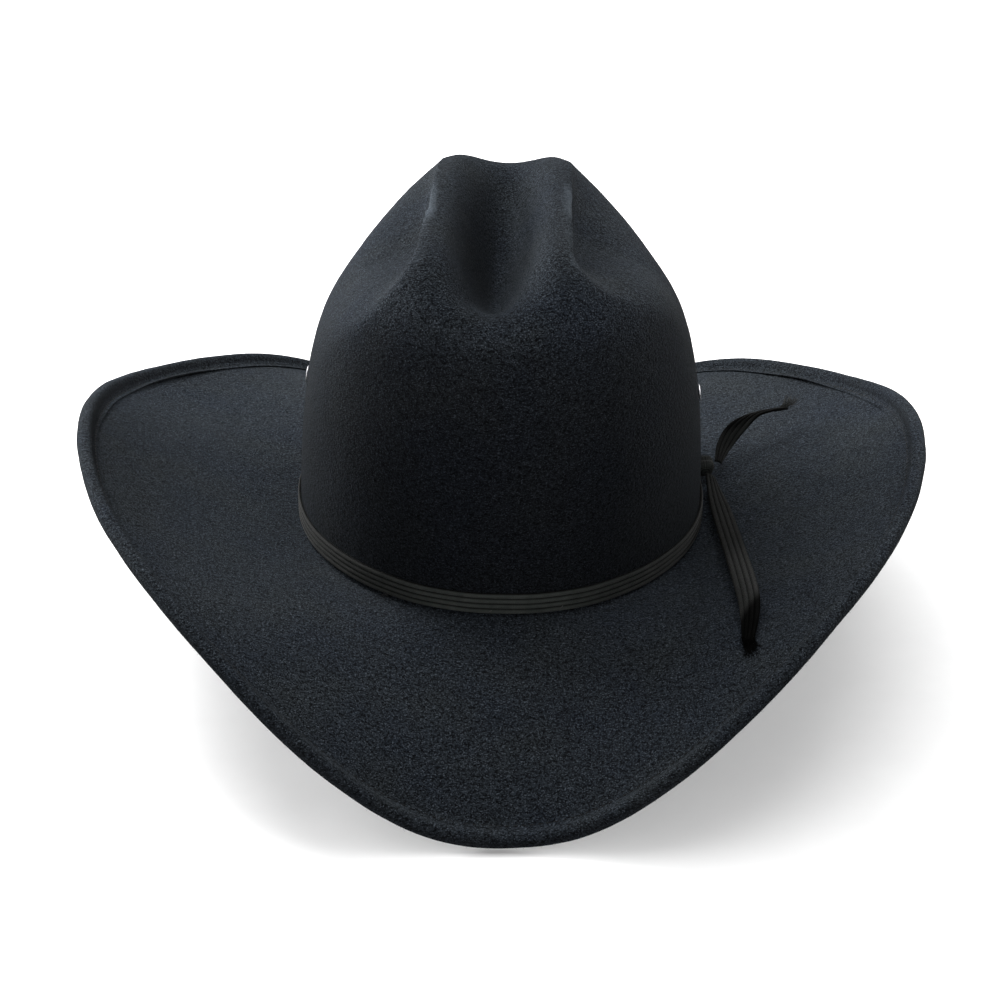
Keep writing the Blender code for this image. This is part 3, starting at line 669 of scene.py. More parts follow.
def ribbon_material():
    """Black grosgrain ribbon: fine cross cords over the four ribs, faintly green, with painted shade in the
    grooves, on faces that look up or sideways, and along the tails.
    """
    silk = Paint("black_ribbon", (0.022, 0.023, 0.022), 0.6)
    weave = silk.math("MULTIPLY", silk.threads("X", 700, 1.2, 1.5), silk.threads("Y", 900, 0.8))
    fluff = silk.noise(2400, 2)
    base = silk.ramp(weave, (0.02, (0.0220, 0.0245, 0.0236)), (0.85, (0.0760, 0.0830, 0.0800)))
    tint = silk.ramp(silk.noise(160, 3), (0.3, (0.78, 0.80, 0.78)), (0.7, (1.15, 1.14, 1.10)))
    # Painted shade: the rib mark darkens the grooves, and on the tails it carries the tails' painted shade;
    # it also scales the gloss.
    rib = silk.mark("rib")
    groove = silk.ramp(rib, (0.10, 0.10), (0.75, 1.0))
    facing = silk.facing()
    # Painted shade on the faces that look up.
    painted_top_shade = silk.ramp(facing["Z"], (0.15, 1.0), (0.85, 0.22))
    sideways = silk.math("ABSOLUTE", facing["X"], 0.0)
    shaded = silk.ramp(sideways, (0.35, 1.0), (0.88, (0.32, 0.31, 0.31)))
    gloss = silk.math("MULTIPLY", rib, 0.06)
    rough = silk.ramp(fluff, (0.3, 0.50), (0.7, 0.74))
    shine = {"Specular IOR Level": gloss, "Sheen Weight": gloss, "Sheen Roughness": 0.45, "Roughness": rough}
    base = silk.times(base, tint, groove, painted_top_shade, shaded)
    return silk.coat(base, [(weave, 0.00012), (fluff, 0.00006)], shine)


def thread_material(name, dark, light):
    """Twisted thread."""
    thread = Paint(name, light, 0.7)
    twist = thread.noise(3500, 3, 0.6, (1, 1, 1), 0.6)
    base = thread.ramp(twist, (0.35, dark), (0.65, light))
    return thread.coat(base, [(twist, 0.0001)], {"Sheen Weight": 0.02, "Specular IOR Level": 0.08})


def metal_material(name, dark, light, roughness):
    """Plated metal with faint scratches and dull patches."""
    metal = Paint(name, light, roughness, 1.0)
    scratch = metal.noise(2500, 2, 0.5, (1, 6, 1))
    base = metal.ramp(metal.noise(600, 4), (0.35, dark), (0.70, light))
    rough = metal.ramp(scratch, (0.3, max(roughness - 0.10, 0.05)), (0.7, roughness + 0.18))
    return metal.coat(base, [(scratch, 0.00002)], {"Roughness": rough})


def leather_material():
    """Dark brown sweatband leather: pebbled grain with paler, rubbed high spots."""
    leather = Paint("sweatband_leather", (0.050, 0.030, 0.020), 0.5)
    grain = leather.node("TexVoronoi", {"Vector": leather.place, "Scale": 1100}, feature="SMOOTH_F1")
    pebble = grain.outputs["Distance"]
    paling = leather.noise(45, 5, 0.6)
    base = leather.ramp(pebble, (0.10, (0.070, 0.043, 0.028)), (0.75, (0.022, 0.013, 0.009)))
    tint = leather.ramp(paling, (0.35, (0.75, 0.74, 0.72)), (0.70, (1.35, 1.30, 1.22)))
    rough = leather.ramp(paling, (0.3, 0.62), (0.7, 0.42))
    bumps = [(leather.math("MULTIPLY", pebble, -1.0), 0.00016), (leather.noise(1800, 3), 0.00006)]
    return leather.coat(leather.times(base, tint), bumps, {"Roughness": rough})


def woven_material(name, dark, light, scale, roughness, sheen):
    """Plain weave on the cloth map, for tape, lining and the bow."""
    cloth = Paint(name, light, roughness)
    weave = cloth.math("MAXIMUM", cloth.threads("X", scale, 0.7), cloth.threads("Y", scale, 0.7))
    base = cloth.ramp(weave, (0.25, dark), (0.85, light))
    tint = cloth.ramp(cloth.noise(90, 4), (0.3, (0.82, 0.82, 0.84)), (0.7, (1.15, 1.15, 1.12)))
    shine = {"Sheen Weight": sheen, "Sheen Roughness": 0.35}
    return cloth.coat(cloth.times(base, tint), [(weave, 0.00006)], shine)


def reed_material():
    """Ivory plastic core of the sweatband's edge."""
    reed = Paint("reed_plastic", (0.55, 0.52, 0.46), 0.45)
    drift = reed.noise(300, 4)
    base = reed.ramp(drift, (0.3, (0.48, 0.45, 0.38)), (0.7, (0.62, 0.59, 0.52)))
    return reed.coat(base, [(drift, 0.00003)])


def film_material():
    """Clear film of the tip's shield, faintly hazed and wrinkled."""
    film = Paint("clear_film", (0.80, 0.83, 0.86), 0.12)
    haze = film.noise(120, 4)
    base = film.ramp(haze, (0.3, (0.70, 0.73, 0.76)), (0.7, (0.92, 0.94, 0.96)))
    clear = {"Transmission Weight": 0.92, "IOR": 1.45, "Alpha": 0.35}
    clear["Roughness"] = film.ramp(haze, (0.3, 0.06), (0.7, 0.22))
    return film.coat(base, [(film.noise(22, 2), 0.0006)], clear)


# ---------------------------------------------------------------- felt

FELT_ANGLES = 288
FELT_ROWS = {"crown": 84, "break": 5, "brim": 42, "fold": 10, "flap": 15}


def crown_grid(angles, rows):
    """Crown points at even steps along the felt, from the top's middle to the break."""
    side, top = shoulders(angles[:, None])
    steps = np.linspace(0, 1, 300)
    swings = np.concatenate([np.arccos(steps ** (side / 2)), np.arcsin(steps ** (top / 2))], axis=1)
    grid = crown_points(angles[:, None], -np.sort(-swings, axis=1))
    shares = np.linspace(0, 1, rows + 1)
    result = np.empty((len(angles), rows + 1, 3))
    for i, line in enumerate(grid):
        lengths = lengths_along(line)
        for axis in range(3):
            result[i, :, axis] = np.interp(shares * lengths[-1], lengths, line[:, axis])
    return result


def loose_edge(angle):
    """How far the flap's cut edge stands loose, from 0 to 1, round the brim."""
    loose = np.zeros_like(angle)
    for middle, half, amount in LOOSE_SPOTS:
        away = np.angle(np.exp(1j * (angle - middle)))
        loose = loose + amount * np.exp(-(away / half) ** 2)
    return loose


def flap_half(angle, share):
    """From the middle of the flap to its outer face: skived thin towards the cut edge."""
    loose = np.minimum(loose_edge(angle), 1.0)
    return FELT / 2 * (1 - FLAP_SKIVE * ease(share, 0.25, 1.0) * (1 - 0.45 * loose))


def felt_grid():
    """The middle of the felt as a grid of (angle, row) points, and each row's name."""
    angles = np.linspace(-pi, pi, FELT_ANGLES, endpoint=False)
    parts = [crown_grid(angles, FELT_ROWS["crown"])]
    names = ["crown"] * (FELT_ROWS["crown"] + 1)

    def add(word, function):
        count = FELT_ROWS[word]
        share = np.arange(1, count + 1) / count
        grid_angle, grid_share = np.meshgrid(angles, share, indexing="ij")
        parts.append(function(grid_angle, grid_share))
        names.extend([word] * count)

    def flap(angle, share):
        inward = FLAP_WIDTH * share * (1 + waves(angle, FLAP_WAVES) * share)
        lift = LOOSE_LIFT * loose_edge(angle) * ease(share, 0.72, 1.0)
        return flap_points(angle, inward, lift)

    add("break", break_points)
    add("brim", lambda angle, share: brim_points(angle, BRIM_WIDTH * share))
    add("fold", lambda angle, share: fold_points(angle, pi * share))
    add("flap", flap)
    return angles, np.concatenate(parts, axis=1), names


def grid_normals(grid):
    """Normals of a grid that closes along its first axis."""
    around = np.roll(grid, -1, axis=0) - np.roll(grid, 1, axis=0)
    down = np.gradient(grid, axis=1)
    normals = np.cross(down, around)
    normals[:, 0] = normals[:, 1].mean(axis=0)
    return unit(normals)


def make_felt(surface):
    """Both faces of the felt, its cut edge, the pressed seam groove and the vent holes."""
    angles, grid, names = felt_grid()
    normals = grid_normals(grid)
    names = np.array(names)
    wave = sum(lumps(grid, size, seed) * depth for seed, (size, depth) in enumerate(FELT_WAVES, 1))
    keep = np.ones(len(names))
    keep[names == "break"] = 0.2
    keep[names == "flap"] = 0.5
    grid = grid + normals * (wave * keep)[..., None]
    flap = names == "flap"
    share = np.zeros(len(names))
    share[flap] = np.arange(1, flap.sum() + 1) / flap.sum()
    groove = np.exp(-((share * FLAP_WIDTH - SEAM_RUN) / GROOVE_WIDTH) ** 2) * flap * GROOVE_DEPTH
    half = flap_half(angles[:, None], share[None, :])[..., None]
    upper = grid + normals * (FELT / 2)
    lower = grid - normals * (half - groove[None, :, None])
    tip = unit(grid[:, -1] - grid[:, -2])
    middle = grid[:, -1] + normals[:, -1] * (FELT / 2 - half[:, -1]) / 2
    rim = []
    for turn in (pi / 4, pi / 2, 3 * pi / 4):
        way = normals[:, -1] * cos(turn) + 0.55 * tip * sin(turn)
        rim.append((middle + (FELT / 2 + half[:, -1]) / 2 * way)[:, None])
    rings = np.concatenate([upper[:, 1:], *rim, lower[:, :0:-1]], axis=1)
    points, faces = dish_mesh(rings, (upper[0, 0], lower[0, 0]))
    felt = outward_faces(mesh_object("felt_hat_body", points, faces, surface))
    # Mask of the painted highlight on the ridges' edges.
    paling = np.zeros(rings.shape[:2])
    paling[:, :len(names) - 1] = ridge_highlight(grid, normals)[:, 1:]
    set_mark(felt, "paling", np.concatenate([paling.ravel(), [0.0, 0.0]]))
    add_to_scene(felt)
    cutters = [vent_cutter(side) for side in (1, -1)]
    for cutter in cutters:
        hole = felt.modifiers.new("vent hole", "BOOLEAN")
        hole.operation = "DIFFERENCE"
        hole.solver = "EXACT"
        hole.object = cutter
    bake_modifiers(felt)
    for cutter in cutters:
        bpy.data.objects.remove(cutter, do_unlink=True)
    felt.data.shade_smooth()
    link(felt, ["felt_body"])
    return grid, normals, names


def ridge_highlight(grid, normals):
    """How far each place stands out as a ridge, 0 to 1, from how fast the normals spread: the mask of the
    painted highlight along the ridges' edges.
    """
    spread = np.zeros(grid.shape[:2])
    for axis in (0, 1):
        run = np.roll(grid, -2, axis) - np.roll(grid, 2, axis)
        turn = np.roll(normals, -2, axis) - np.roll(normals, 2, axis)
        bend = (run * turn).sum(-1) / np.maximum((run * run).sum(-1), 1e-9)
        spread = np.maximum(spread, bend)
    spread = sum(np.roll(spread, step, 0) for step in range(-3, 4)) / 7
    crown = ease(grid[..., 2], *RIDGE_HIGHLIGHT_HEIGHT)
    crown[:, :4] = 0
    outer = ease(np.abs(grid[..., 0] - CREASE_SHIFT), *RIDGE_HIGHLIGHT_REACH)
    return ease(spread, *RIDGE_HIGHLIGHT_BEND) * crown * outer


def bake_modifiers(made):
    """Turn an object's modifiers into its plain mesh."""
    bpy.context.view_layer.update()
    graph = bpy.context.evaluated_depsgraph_get()
    mesh = bpy.data.meshes.new_from_object(made.evaluated_get(graph))
    made.modifiers.clear()
    made.data = mesh


def vent_frame(side):
    """Middle of the felt at a vent and the way out of it."""
    shift = VENT_SHIFT / OVAL_HALF_LENGTH
    angle = shift if side > 0 else pi + shift
    swings = pi / 2 * np.linspace(0, 1, 401)
    points = crown_points(angle, swings)
    index = int(np.abs(points[1:-1, 2] - BREAK_HEIGHT - BREAK_RADIUS - VENT_HEIGHT).argmin()) + 1
    rise = points[index + 1] - points[index - 1]
    ahead = crown_points(angle + 0.02, swings[index]) - crown_points(angle - 0.02, swings[index])
    return Vector(points[index]), Vector(np.cross(ahead, rise)).normalized()


def aim(made, middle, direction):
    """Put an object's origin at a point and its Z along a direction."""
    turn = direction.to_track_quat("Z", "Y").to_matrix().to_4x4()
    made.matrix_world = Matrix.Translation(middle) @ turn
    return made


def vent_cutter(side):
    """Rod through the felt, of a vent hole's size."""
    mesh = bpy.data.meshes.new("vent_cutter")
    shape = bmesh.new()
    radius = EYELET_BARREL + CLEARANCE
    bmesh.ops.create_cone(shape, cap_ends=True, segments=32, radius1=radius, radius2=radius, depth=0.012)
    shape.to_mesh(mesh)
    shape.free()
    cutter = add_to_scene(bpy.data.objects.new("vent_cutter", mesh))
    cutter.hide_render = True
    return aim(cutter, *vent_frame(side))


def make_stitches(surface):
    """Lockstitches of the brim's turned edge, in the groove above and on the face below."""
    dense = np.linspace(-pi, pi, 2881)
    line = flap_points(dense, np.full_like(dense, SEAM_RUN))
    stitches = stitch_angles(dense, line, EDGE_STITCH, EDGE_STITCH + EDGE_STITCH_GAP)
    dips = np.array([-1.0, -0.15, 0.25, 0.35, 0.25, -0.15, -1.0])
    paths = []
    for angle in stitches:
        half = flap_half(angle, np.full_like(angle, SEAM_RUN / FLAP_WIDTH))
        lift = half - STITCH_DEPTH + dips * STITCH_DEPTH
        paths.append(flap_points(angle, np.full_like(angle, SEAM_RUN), lift))
    for angle in stitches:
        run = np.full_like(angle, BRIM_WIDTH - SEAM_RUN)
        up, _, _ = brim_frame(angle, run)
        paths.append(brim_points(angle, run) - up * (FELT / 2 - 0.00002 + dips * 0.00022)[:, None])
    points, faces = tube_mesh(paths, THREAD_RADIUS, 6)
    link(mesh_object("brim_edge_stitching", points, faces, surface), ["edge_thread"])


def make_fuzz(surface, grid, normals, names):
    """Short fibres that stand off the felt's outer faces and soften its outline."""
    chance = np.random.default_rng(11)
    count = FIBRE_COUNT
    outer = np.where(np.isin(names, ("crown", "brim")))[0][6:-1]
    rim = np.where(np.isin(names, ("fold", "flap")))[0][:-2]
    parts = [np.full(len(outer), 0.72 / len(outer)), np.full(len(rim), 0.28 / len(rim))]
    weights = np.concatenate(parts)
    rows = chance.choice(np.concatenate([outer, rim]), count, p=weights / weights.sum())
    columns = chance.integers(0, FELT_ANGLES, count)
    share = chance.random((count, 2, 1))
    after = (columns + 1) % FELT_ANGLES
    base = grid[columns, rows] * (1 - share[:, 0]) + grid[after, rows] * share[:, 0]
    step = grid[columns, np.minimum(rows + 1, len(names) - 1)] - grid[columns, rows]
    base = base + step * share[:, 1]
    facing = normals[columns, rows] * np.where(np.isin(rows, rim), -1.0, 1.0)[:, None]
    base = base + facing * (FELT / 2 - 0.00010)
    lean = unit(chance.normal(size=(count, 3)))
    length = chance.uniform(*FIBRE_LENGTH, count)[:, None]
    ahead = unit(facing * 0.75 + lean * 0.85)
    bend = unit(chance.normal(size=(count, 3)))
    middle = base + ahead * length * 0.55
    end = base + (ahead + bend * 0.55) * length
    side = unit(np.cross(ahead, facing + 0.01)) * FIBRE_RADIUS
    other = unit(np.cross(ahead, side)) * FIBRE_RADIUS
    corners = np.stack([base + side, base - side * 0.5 + other, base - side * 0.5 - other,
                        middle + side * 0.7, middle - side * 0.35 + other * 0.7,
                        middle - side * 0.35 - other * 0.7, end], axis=1)
    one = [[0, 1, 4, 3], [1, 2, 5, 4], [2, 0, 3, 5], [3, 4, 6], [4, 5, 6], [5, 3, 6], [2, 1, 0]]
    faces = [[k + 7 * i for k in face] for i in range(count) for face in one]
    link(outward_faces(mesh_object("felt_nap_fibres", corners, faces, surface)))


# ---------------------------------------------------------------- hatband, knot and tails

def rib_profile(count):
    """Rounded ribs: height from 0 in a groove to 1 on a rib, over a share from 0 to 1."""
    share = np.linspace(0, 1, count)
    return share, np.abs(np.sin(pi * RIB_COUNT * share)) ** 0.45


def make_band(surface, thread, dark_thread):
    """Ribbed ribbon round the crown, slightly wavy, its tacks and the tuft under it."""
    angles = np.linspace(-pi, pi, 540, endpoint=False)
    share, rib = rib_profile(41)
    inner = FELT / 2 + CLEARANCE
    outer = inner + RIBBON_THICKNESS - RIB_DEPTH + RIB_DEPTH * rib
    outer[[0, -1]] -= 0.0001
    back = np.linspace(1, 0, 7)
    offsets = np.concatenate([outer, np.full(7, inner)])
    heights = BAND_HEIGHT + RIBBON_WIDTH * (1 - np.concatenate([share, back]))

    def wander(points, angle, offset, height):
        along = (height - BAND_HEIGHT) / RIBBON_WIDTH
        points[..., 2] += waves(angle, RIBBON_WAVES)
        puff = (waves(angle, RIBBON_PUFF) + 0.00014) * (1 - along)
        return points + way_out(angle) * puff[..., None]

    band = closed_ring("hatband", (offsets, heights), angles, surface, wander)
    # The rib mark darkens the grooves in the ribbon's material: painted shade.
    set_mark(band, "rib", np.tile(np.concatenate([rib, np.full(7, 0.6)]), len(angles)))
    link(band, ["hatband_ribbon"])
    proud = inner + RIBBON_THICKNESS + CLEARANCE
    chance = np.random.default_rng(5)
    run = np.linspace(0, 1, 6)
    for word, angle in TACK_ANGLES.items():
        tuft = word == "left"
        paths = []
        for _ in range(9 if tuft else 2):
            spread = chance.normal(0, 0.010, 2)
            reach = chance.uniform(0.0010, 0.0050) if tuft else 0.0008
            at = angle + 0.012 * run + spread[0] * run
            offset = proud + 0.0002 + reach * run * 0.8
            height = BAND_HEIGHT + 0.0014 - run * (0.0010 if tuft else -0.0014)
            paths.append(on_oval(at, offset, height + spread[1] * 0.05 * run))
        points, faces = tube_mesh(paths, FRAY_RADIUS, 5)
        colour = dark_thread if tuft else thread
        tack = mesh_object("band_tack_stitch_" + word, points, faces, colour)
        link(tack, ["band_tack_" + word])


def make_knot(surface):
    """Knot of the ribbon: a wrap with ribs round two folded strands."""
    rows, columns = 60, 72
    across, turn = tube_grid(rows, columns)
    body = (1 - np.abs(across) ** 3.2) ** 0.5
    pinch = 1 - 0.10 * np.cos(pi * across) ** 2
    rib = np.abs(np.sin(pi * 2.0 * (across + 1))) ** 0.5
    fold = np.exp(-((across - 0.45 * np.sin(turn) - 0.10) / 0.10) ** 2)
    swell = 1 - 0.07 * (1 - rib) - 0.16 * fold
    x = KNOT_SIZE[0] / 2 * signed_power(np.cos(turn), 0.62) * body * pinch * swell
    z = KNOT_SIZE[2] / 2 * signed_power(np.sin(turn), 0.62) * body * pinch * swell
    y = KNOT_SIZE[1] / 2 * across * 1.02
    y, z = y * cos(KNOT_TILT) - z * sin(KNOT_TILT), y * sin(KNOT_TILT) + z * cos(KNOT_TILT)
    c, s = cos(KNOT_ANGLE), sin(KNOT_ANGLE)
    points = join_axes(x, y * 0.92, z * 0.95) @ np.array([[c, s, 0], [-s, c, 0], [0, 0, 1]])
    offset = FELT / 2 + RIBBON_THICKNESS + 2 * CLEARANCE + KNOT_SIZE[0] / 2
    points = points + on_oval(KNOT_ANGLE, offset, KNOT_HEIGHT)
    cloth = np.stack([turn * 0.0035, across * 0.0045], -1)
    faces = grid_faces(rows, columns, close_columns=True)
    knot = outward_faces(mesh_object("hatband_knot", points, faces, surface, cloth), weld=1e-5)
    knot.data.shade_smooth()
    set_mark(knot, "rib", np.full(len(knot.data.vertices), 0.8))
    link(knot, ["band_knot"])


def smooth_route(stops, count):
    """Values at even steps of parameter on the smooth curve through a few stops."""
    stops = np.asarray(stops, float)
    ends = np.vstack([2 * stops[0] - stops[1], stops, 2 * stops[-1] - stops[-2]])
    place = np.linspace(0, len(stops) - 1, count)
    leg = np.minimum(place.astype(int), len(stops) - 2)
    t = (place - leg)[:, None]
    a, b, c, d = (ends[leg + k] for k in range(4))
    curve = (2 * a - 5 * b + 4 * c - d) * t ** 2 + (3 * b - a - 3 * c + d) * t ** 3
    return 0.5 * (2 * b + (c - a) * t + curve)


TAILS = {
    "front": [
        ((0.0955, 0.0140, 0.0588), (0.50, -0.30, 0.80), 0.0054),
        ((0.0960, 0.0010, 0.0580), (0.30, -0.10, 0.95), 0.0072),
        ((0.0965, -0.0200, 0.0590), (0.05, 0.00, 1.00), 0.0092),
        ((0.0968, -0.0500, 0.0618), (-0.05, 0.00, 1.00), 0.0096),
        ((0.0970, -0.0800, 0.0650), (-0.10, 0.00, 1.00), 0.0096),
        ((0.0970, -0.1050, 0.0675), (-0.20, 0.00, 0.98), 0.0096),
        ((0.0968, -0.1240, 0.0683), (-0.30, 0.00, 0.95), 0.0090),
        ((0.0958, -0.1370, 0.0665), (-0.30, -0.20, 0.93), 0.0074),
        ((0.0941, -0.1480, 0.0624), (-0.20, -0.30, 0.93), 0.0046),
    ],
    "back": [
        ((0.0996, 0.0244, 0.0612), (0.00, -0.90, 0.42), 0.0034),
        ((0.1030, 0.0340, 0.0652), (0.00, -0.85, 0.52), 0.0068),
        ((0.1085, 0.0420, 0.0702), (0.00, -0.35, 0.94), 0.0085),
        ((0.1165, 0.0480, 0.0745), (-0.05, 0.25, 0.97), 0.0088),
        ((0.1250, 0.0520, 0.0755), (-0.08, 0.42, 0.91), 0.0085),
        ((0.1325, 0.0550, 0.0752), (-0.08, 0.45, 0.89), 0.0070),
    ],
}
TAIL_COUNTS = {"front": 150, "back": 90}
# Painted shade along each tail: where it starts and ends along the tail, and how far it slants across.
TAIL_PAINTED_SHADE = {"front": (0.85, 0.91, 0.10), "back": (0.30, 0.55, 0.30)}


def make_tail(word, surface, over):
    """Ribbon tail with its four ribs, a slight cup across it, and its frayed end; its rib mark carries
    painted shade.
    """
    stops = TAILS[word]
    count = TAIL_COUNTS[word]
    route = smooth_route([stop[0] for stop in stops], count)
    facing = smooth_route([stop[1] for stop in stops], count)
    widths = smooth_route([(stop[2],) for stop in stops], count)[:, 0]
    ahead = unit(np.gradient(route, axis=0))
    across = unit(np.cross(ahead, facing))
    out = np.cross(across, ahead)
    share, rib = rib_profile(33)
    half = RIBBON_THICKNESS / 2 - 0.00012
    top = half * 0.30 + 0.00055 * rib
    top[[0, -1]] -= 0.00010
    under = -half * 0.30 - 0.00030 * rib[::-1]
    reach = np.concatenate([share, share[::-1]]) - 0.5
    lift = np.concatenate([top, under])
    cup = TAIL_CUP * (reach * 2) ** 2
    grid = route[:, None] + across[:, None] * (reach * widths[:, None])[..., None]
    grid = grid + out[:, None] * (lift - cup)[None, :, None]
    lengths = lengths_along(route)
    cloth = np.stack(np.broadcast_arrays(lengths[:, None], reach[None, :] * RIBBON_WIDTH), -1)
    tail = mesh_object("hatband_tail_" + word, grid, tube_faces(count, len(reach)), surface, cloth)
    along = lengths / lengths[-1]
    start, end, slant = TAIL_PAINTED_SHADE[word]
    # Painted shade: the front tail's folded end and the back tail's outer half darken, slanting across; the
    # tail's upper part, its grooves and its outer edges are darker too.
    painted_shade = 1 - 0.85 * ease(along[:, None] - slant * reach[None, :], start, end)
    painted_shade = painted_shade * (0.42 + 0.42 * ease(along[:, None], 0.45, 0.70))
    both = np.concatenate([rib, rib[::-1]])
    edges = 1 - 0.35 * (np.abs(reach) > 0.46)
    set_mark(tail, "rib", painted_shade * ((0.40 + 0.60 * both) * edges)[None, :])
    link(outward_faces(tail), ["ribbon_tail_" + word], "tail_" + word)
    make_fray(word, route[-1], ahead[-1], across[-1], out[-1], widths[-1], surface, over)


def lift_off(path, grid, normals):
    """Path moved out wherever it is too close to the felt's top face."""
    near = np.linalg.norm(grid - path[0], axis=-1) < 0.025
    spots, outs = grid[near], normals[near]
    moved = path.copy()
    for i, point in enumerate(path):
        if not len(spots):
            break
        nearest = np.linalg.norm(spots - point, axis=-1).argmin()
        height = (point - spots[nearest]) @ outs[nearest]
        moved[i] = point + outs[nearest] * max(FELT / 2 + FRAY_CLEARANCE - height, 0.0)
    return moved


def make_fray(word, end, ahead, across, out, width, surface, over):
    """Loose warp threads at a tail's cut end."""
    front = word == "front"
    chance = np.random.default_rng(21 if front else 22)
    drop = out * -0.0045 - across * 0.0030 if front else out * 0.0040 - across * 0.0010
    run = np.linspace(0, 1, 9)[:, None]
    paths = []
    for _ in range(120 if front else 60):
        place = chance.uniform(-0.5, 0.5)
        rise = chance.uniform(-0.0003, 0.0003)
        start = end + across * place * width + out * rise - ahead * 0.002
        length = chance.uniform(0.004, 0.011)
        stray = chance.normal(0, 0.0011, 3)
        curl = chance.normal(0, 0.0006, 3) * np.sin(run * pi * 1.5)
        path = start + ahead * length * run + (drop + stray) * run ** 2 + curl
        paths.append(lift_off(path, *over))
    points, faces = tube_mesh(paths, FRAY_RADIUS, 4, np.linspace(1, 0.6, 9))
    fray = mesh_object("hatband_fray_" + word, points, faces, surface)
    # The front fray keeps the painted shade of the front tail's end.
    set_mark(fray, "rib", np.full(len(points), 0.10 if front else 0.70))
    link(fray, body="tail_" + word)


# ---------------------------------------------------------------- vents

def turned_part(name, profile, surface, side):
    """Round part from a closed profile of (radius, height), at a vent."""
    radius, height = np.asarray(profile, float).T
    turns = np.linspace(0, 2 * pi, VENT_STEPS, endpoint=False)[:, None]
    points = join_axes(radius * np.cos(turns), radius * np.sin(turns), height)
    faces = grid_faces(VENT_STEPS, len(profile), close_rows=True, close_columns=True)
    made = outward_faces(mesh_object(name, points, faces, surface))
    return aim(add_to_scene(made), *vent_frame(side))


def rolled(start, end, bulge, count):
    """Arc of points from start to end that swells to the left of the way between them."""
    start, end = np.asarray(start), np.asarray(end)
    way = end - start
    left = np.array([-way[1], way[0]])
    share = np.linspace(0, 1, count)[:, None]
    return list(start + way * share + left * bulge * np.sin(pi * share))


def make_vents(metal):
    """Eyelet with a rolled flange in each vent hole."""
    outside = FELT / 2 + 2 * CLEARANCE
    inside = -outside - EYELET_SHEET
    lip = EYELET_BARREL + EYELET_LIP
    profile = rolled((EYELET_BORE, outside), (EYELET_FLANGE, outside), 0.20, 13)
    profile += [(EYELET_BARREL, outside - 0.0001), (EYELET_BARREL, inside - CLEARANCE)]
    profile += rolled((lip, inside - CLEARANCE), (EYELET_BORE, inside - EYELET_SHEET), 0.25, 7)
    for side, word in ((1, "left"), (-1, "right")):
        eyelet = turned_part("vent_grommet_" + word, profile, metal, side)
        link(eyelet, ["vent_eyelet_" + word])


# ---------------------------------------------------------------- inside of the crown

def make_sweatband(leather, tape, thread, bow):
    """Leather band with a rolled top edge, its piping, stitches, bow and size tab."""
    angles = np.linspace(-pi, pi, 360, endpoint=False)
    tape_outer = REED_RADIUS + CLEARANCE + TAPE_THICKNESS
    foot = REED_HEIGHT + tape_outer + CLEARANCE
    inner = SWEATBAND_OFFSET - SWEATBAND_THICKNESS
    run = np.linspace(0, 1, 30)
    edge = np.linspace(0, pi, 7)[1:-1]
    half = SWEATBAND_THICKNESS / 2
    middle = SWEATBAND_OFFSET - half
    offsets = np.concatenate([
        SWEATBAND_OFFSET + SWEATBAND_LEAN * (1 - run),
        middle + half * np.cos(edge),
        inner + SWEATBAND_LEAN * run,
        middle + SWEATBAND_LEAN - half * np.cos(edge),
    ])
    heights = np.concatenate([
        foot + SWEATBAND_HEIGHT * (1 - run),
        foot - half * 0.5 * np.sin(edge),
        foot + SWEATBAND_HEIGHT * run,
        foot + SWEATBAND_HEIGHT + half * np.sin(edge),
    ])

    def ripple(points, angle, offset, height):
        along = np.clip((height - foot) / SWEATBAND_HEIGHT, 0, 1)
        wave = waves(angle, LEATHER_WAVES) + 1.6
        groove = np.exp(-((height - foot - BAND_STITCH_RISE) / 0.0006) ** 2) * 0.00012
        shift = LEATHER_RIPPLE * wave * along ** 2 - groove * (offset < SWEATBAND_OFFSET - half)
        return points - way_out(angle) * shift[..., None]

    band = closed_ring("leather_sweatband", (offsets, heights), angles, leather, ripple)
    link(band, ["sweatband"])
    turns = np.linspace(pi / 2, -3 * pi / 2, 20, endpoint=False)
    radius = tape_outer + 0.00006
    section = (middle + radius * np.cos(turns), REED_HEIGHT + radius * np.sin(turns))
    link(closed_ring("sweatband_piping", section, angles, tape), ["reed_tape"])
    dense = np.linspace(-pi, pi, 2401)
    line = on_oval(dense, inner, foot + BAND_STITCH_RISE)
    dips = np.array([-1.0, 0.1, 0.7, 0.9, 0.7, 0.1, -1.0])
    height = foot + BAND_STITCH_RISE + np.linspace(-0.0004, 0.0004, len(dips))
    stitches = stitch_angles(dense, line, BAND_STITCH, BAND_STITCH_PITCH)
    paths = [on_oval(angle, inner - 0.00005 - dips * 0.0002, height) for angle in stitches]
    points, faces = tube_mesh(paths, 0.0002, 6)
    link(mesh_object("sweatband_stitches", points, faces, thread), ["sweatband_thread"])
    make_bow(inner + SWEATBAND_LEAN, foot + 0.008, bow)
    make_size_tab(inner + SWEATBAND_LEAN, foot + 0.007, tape)


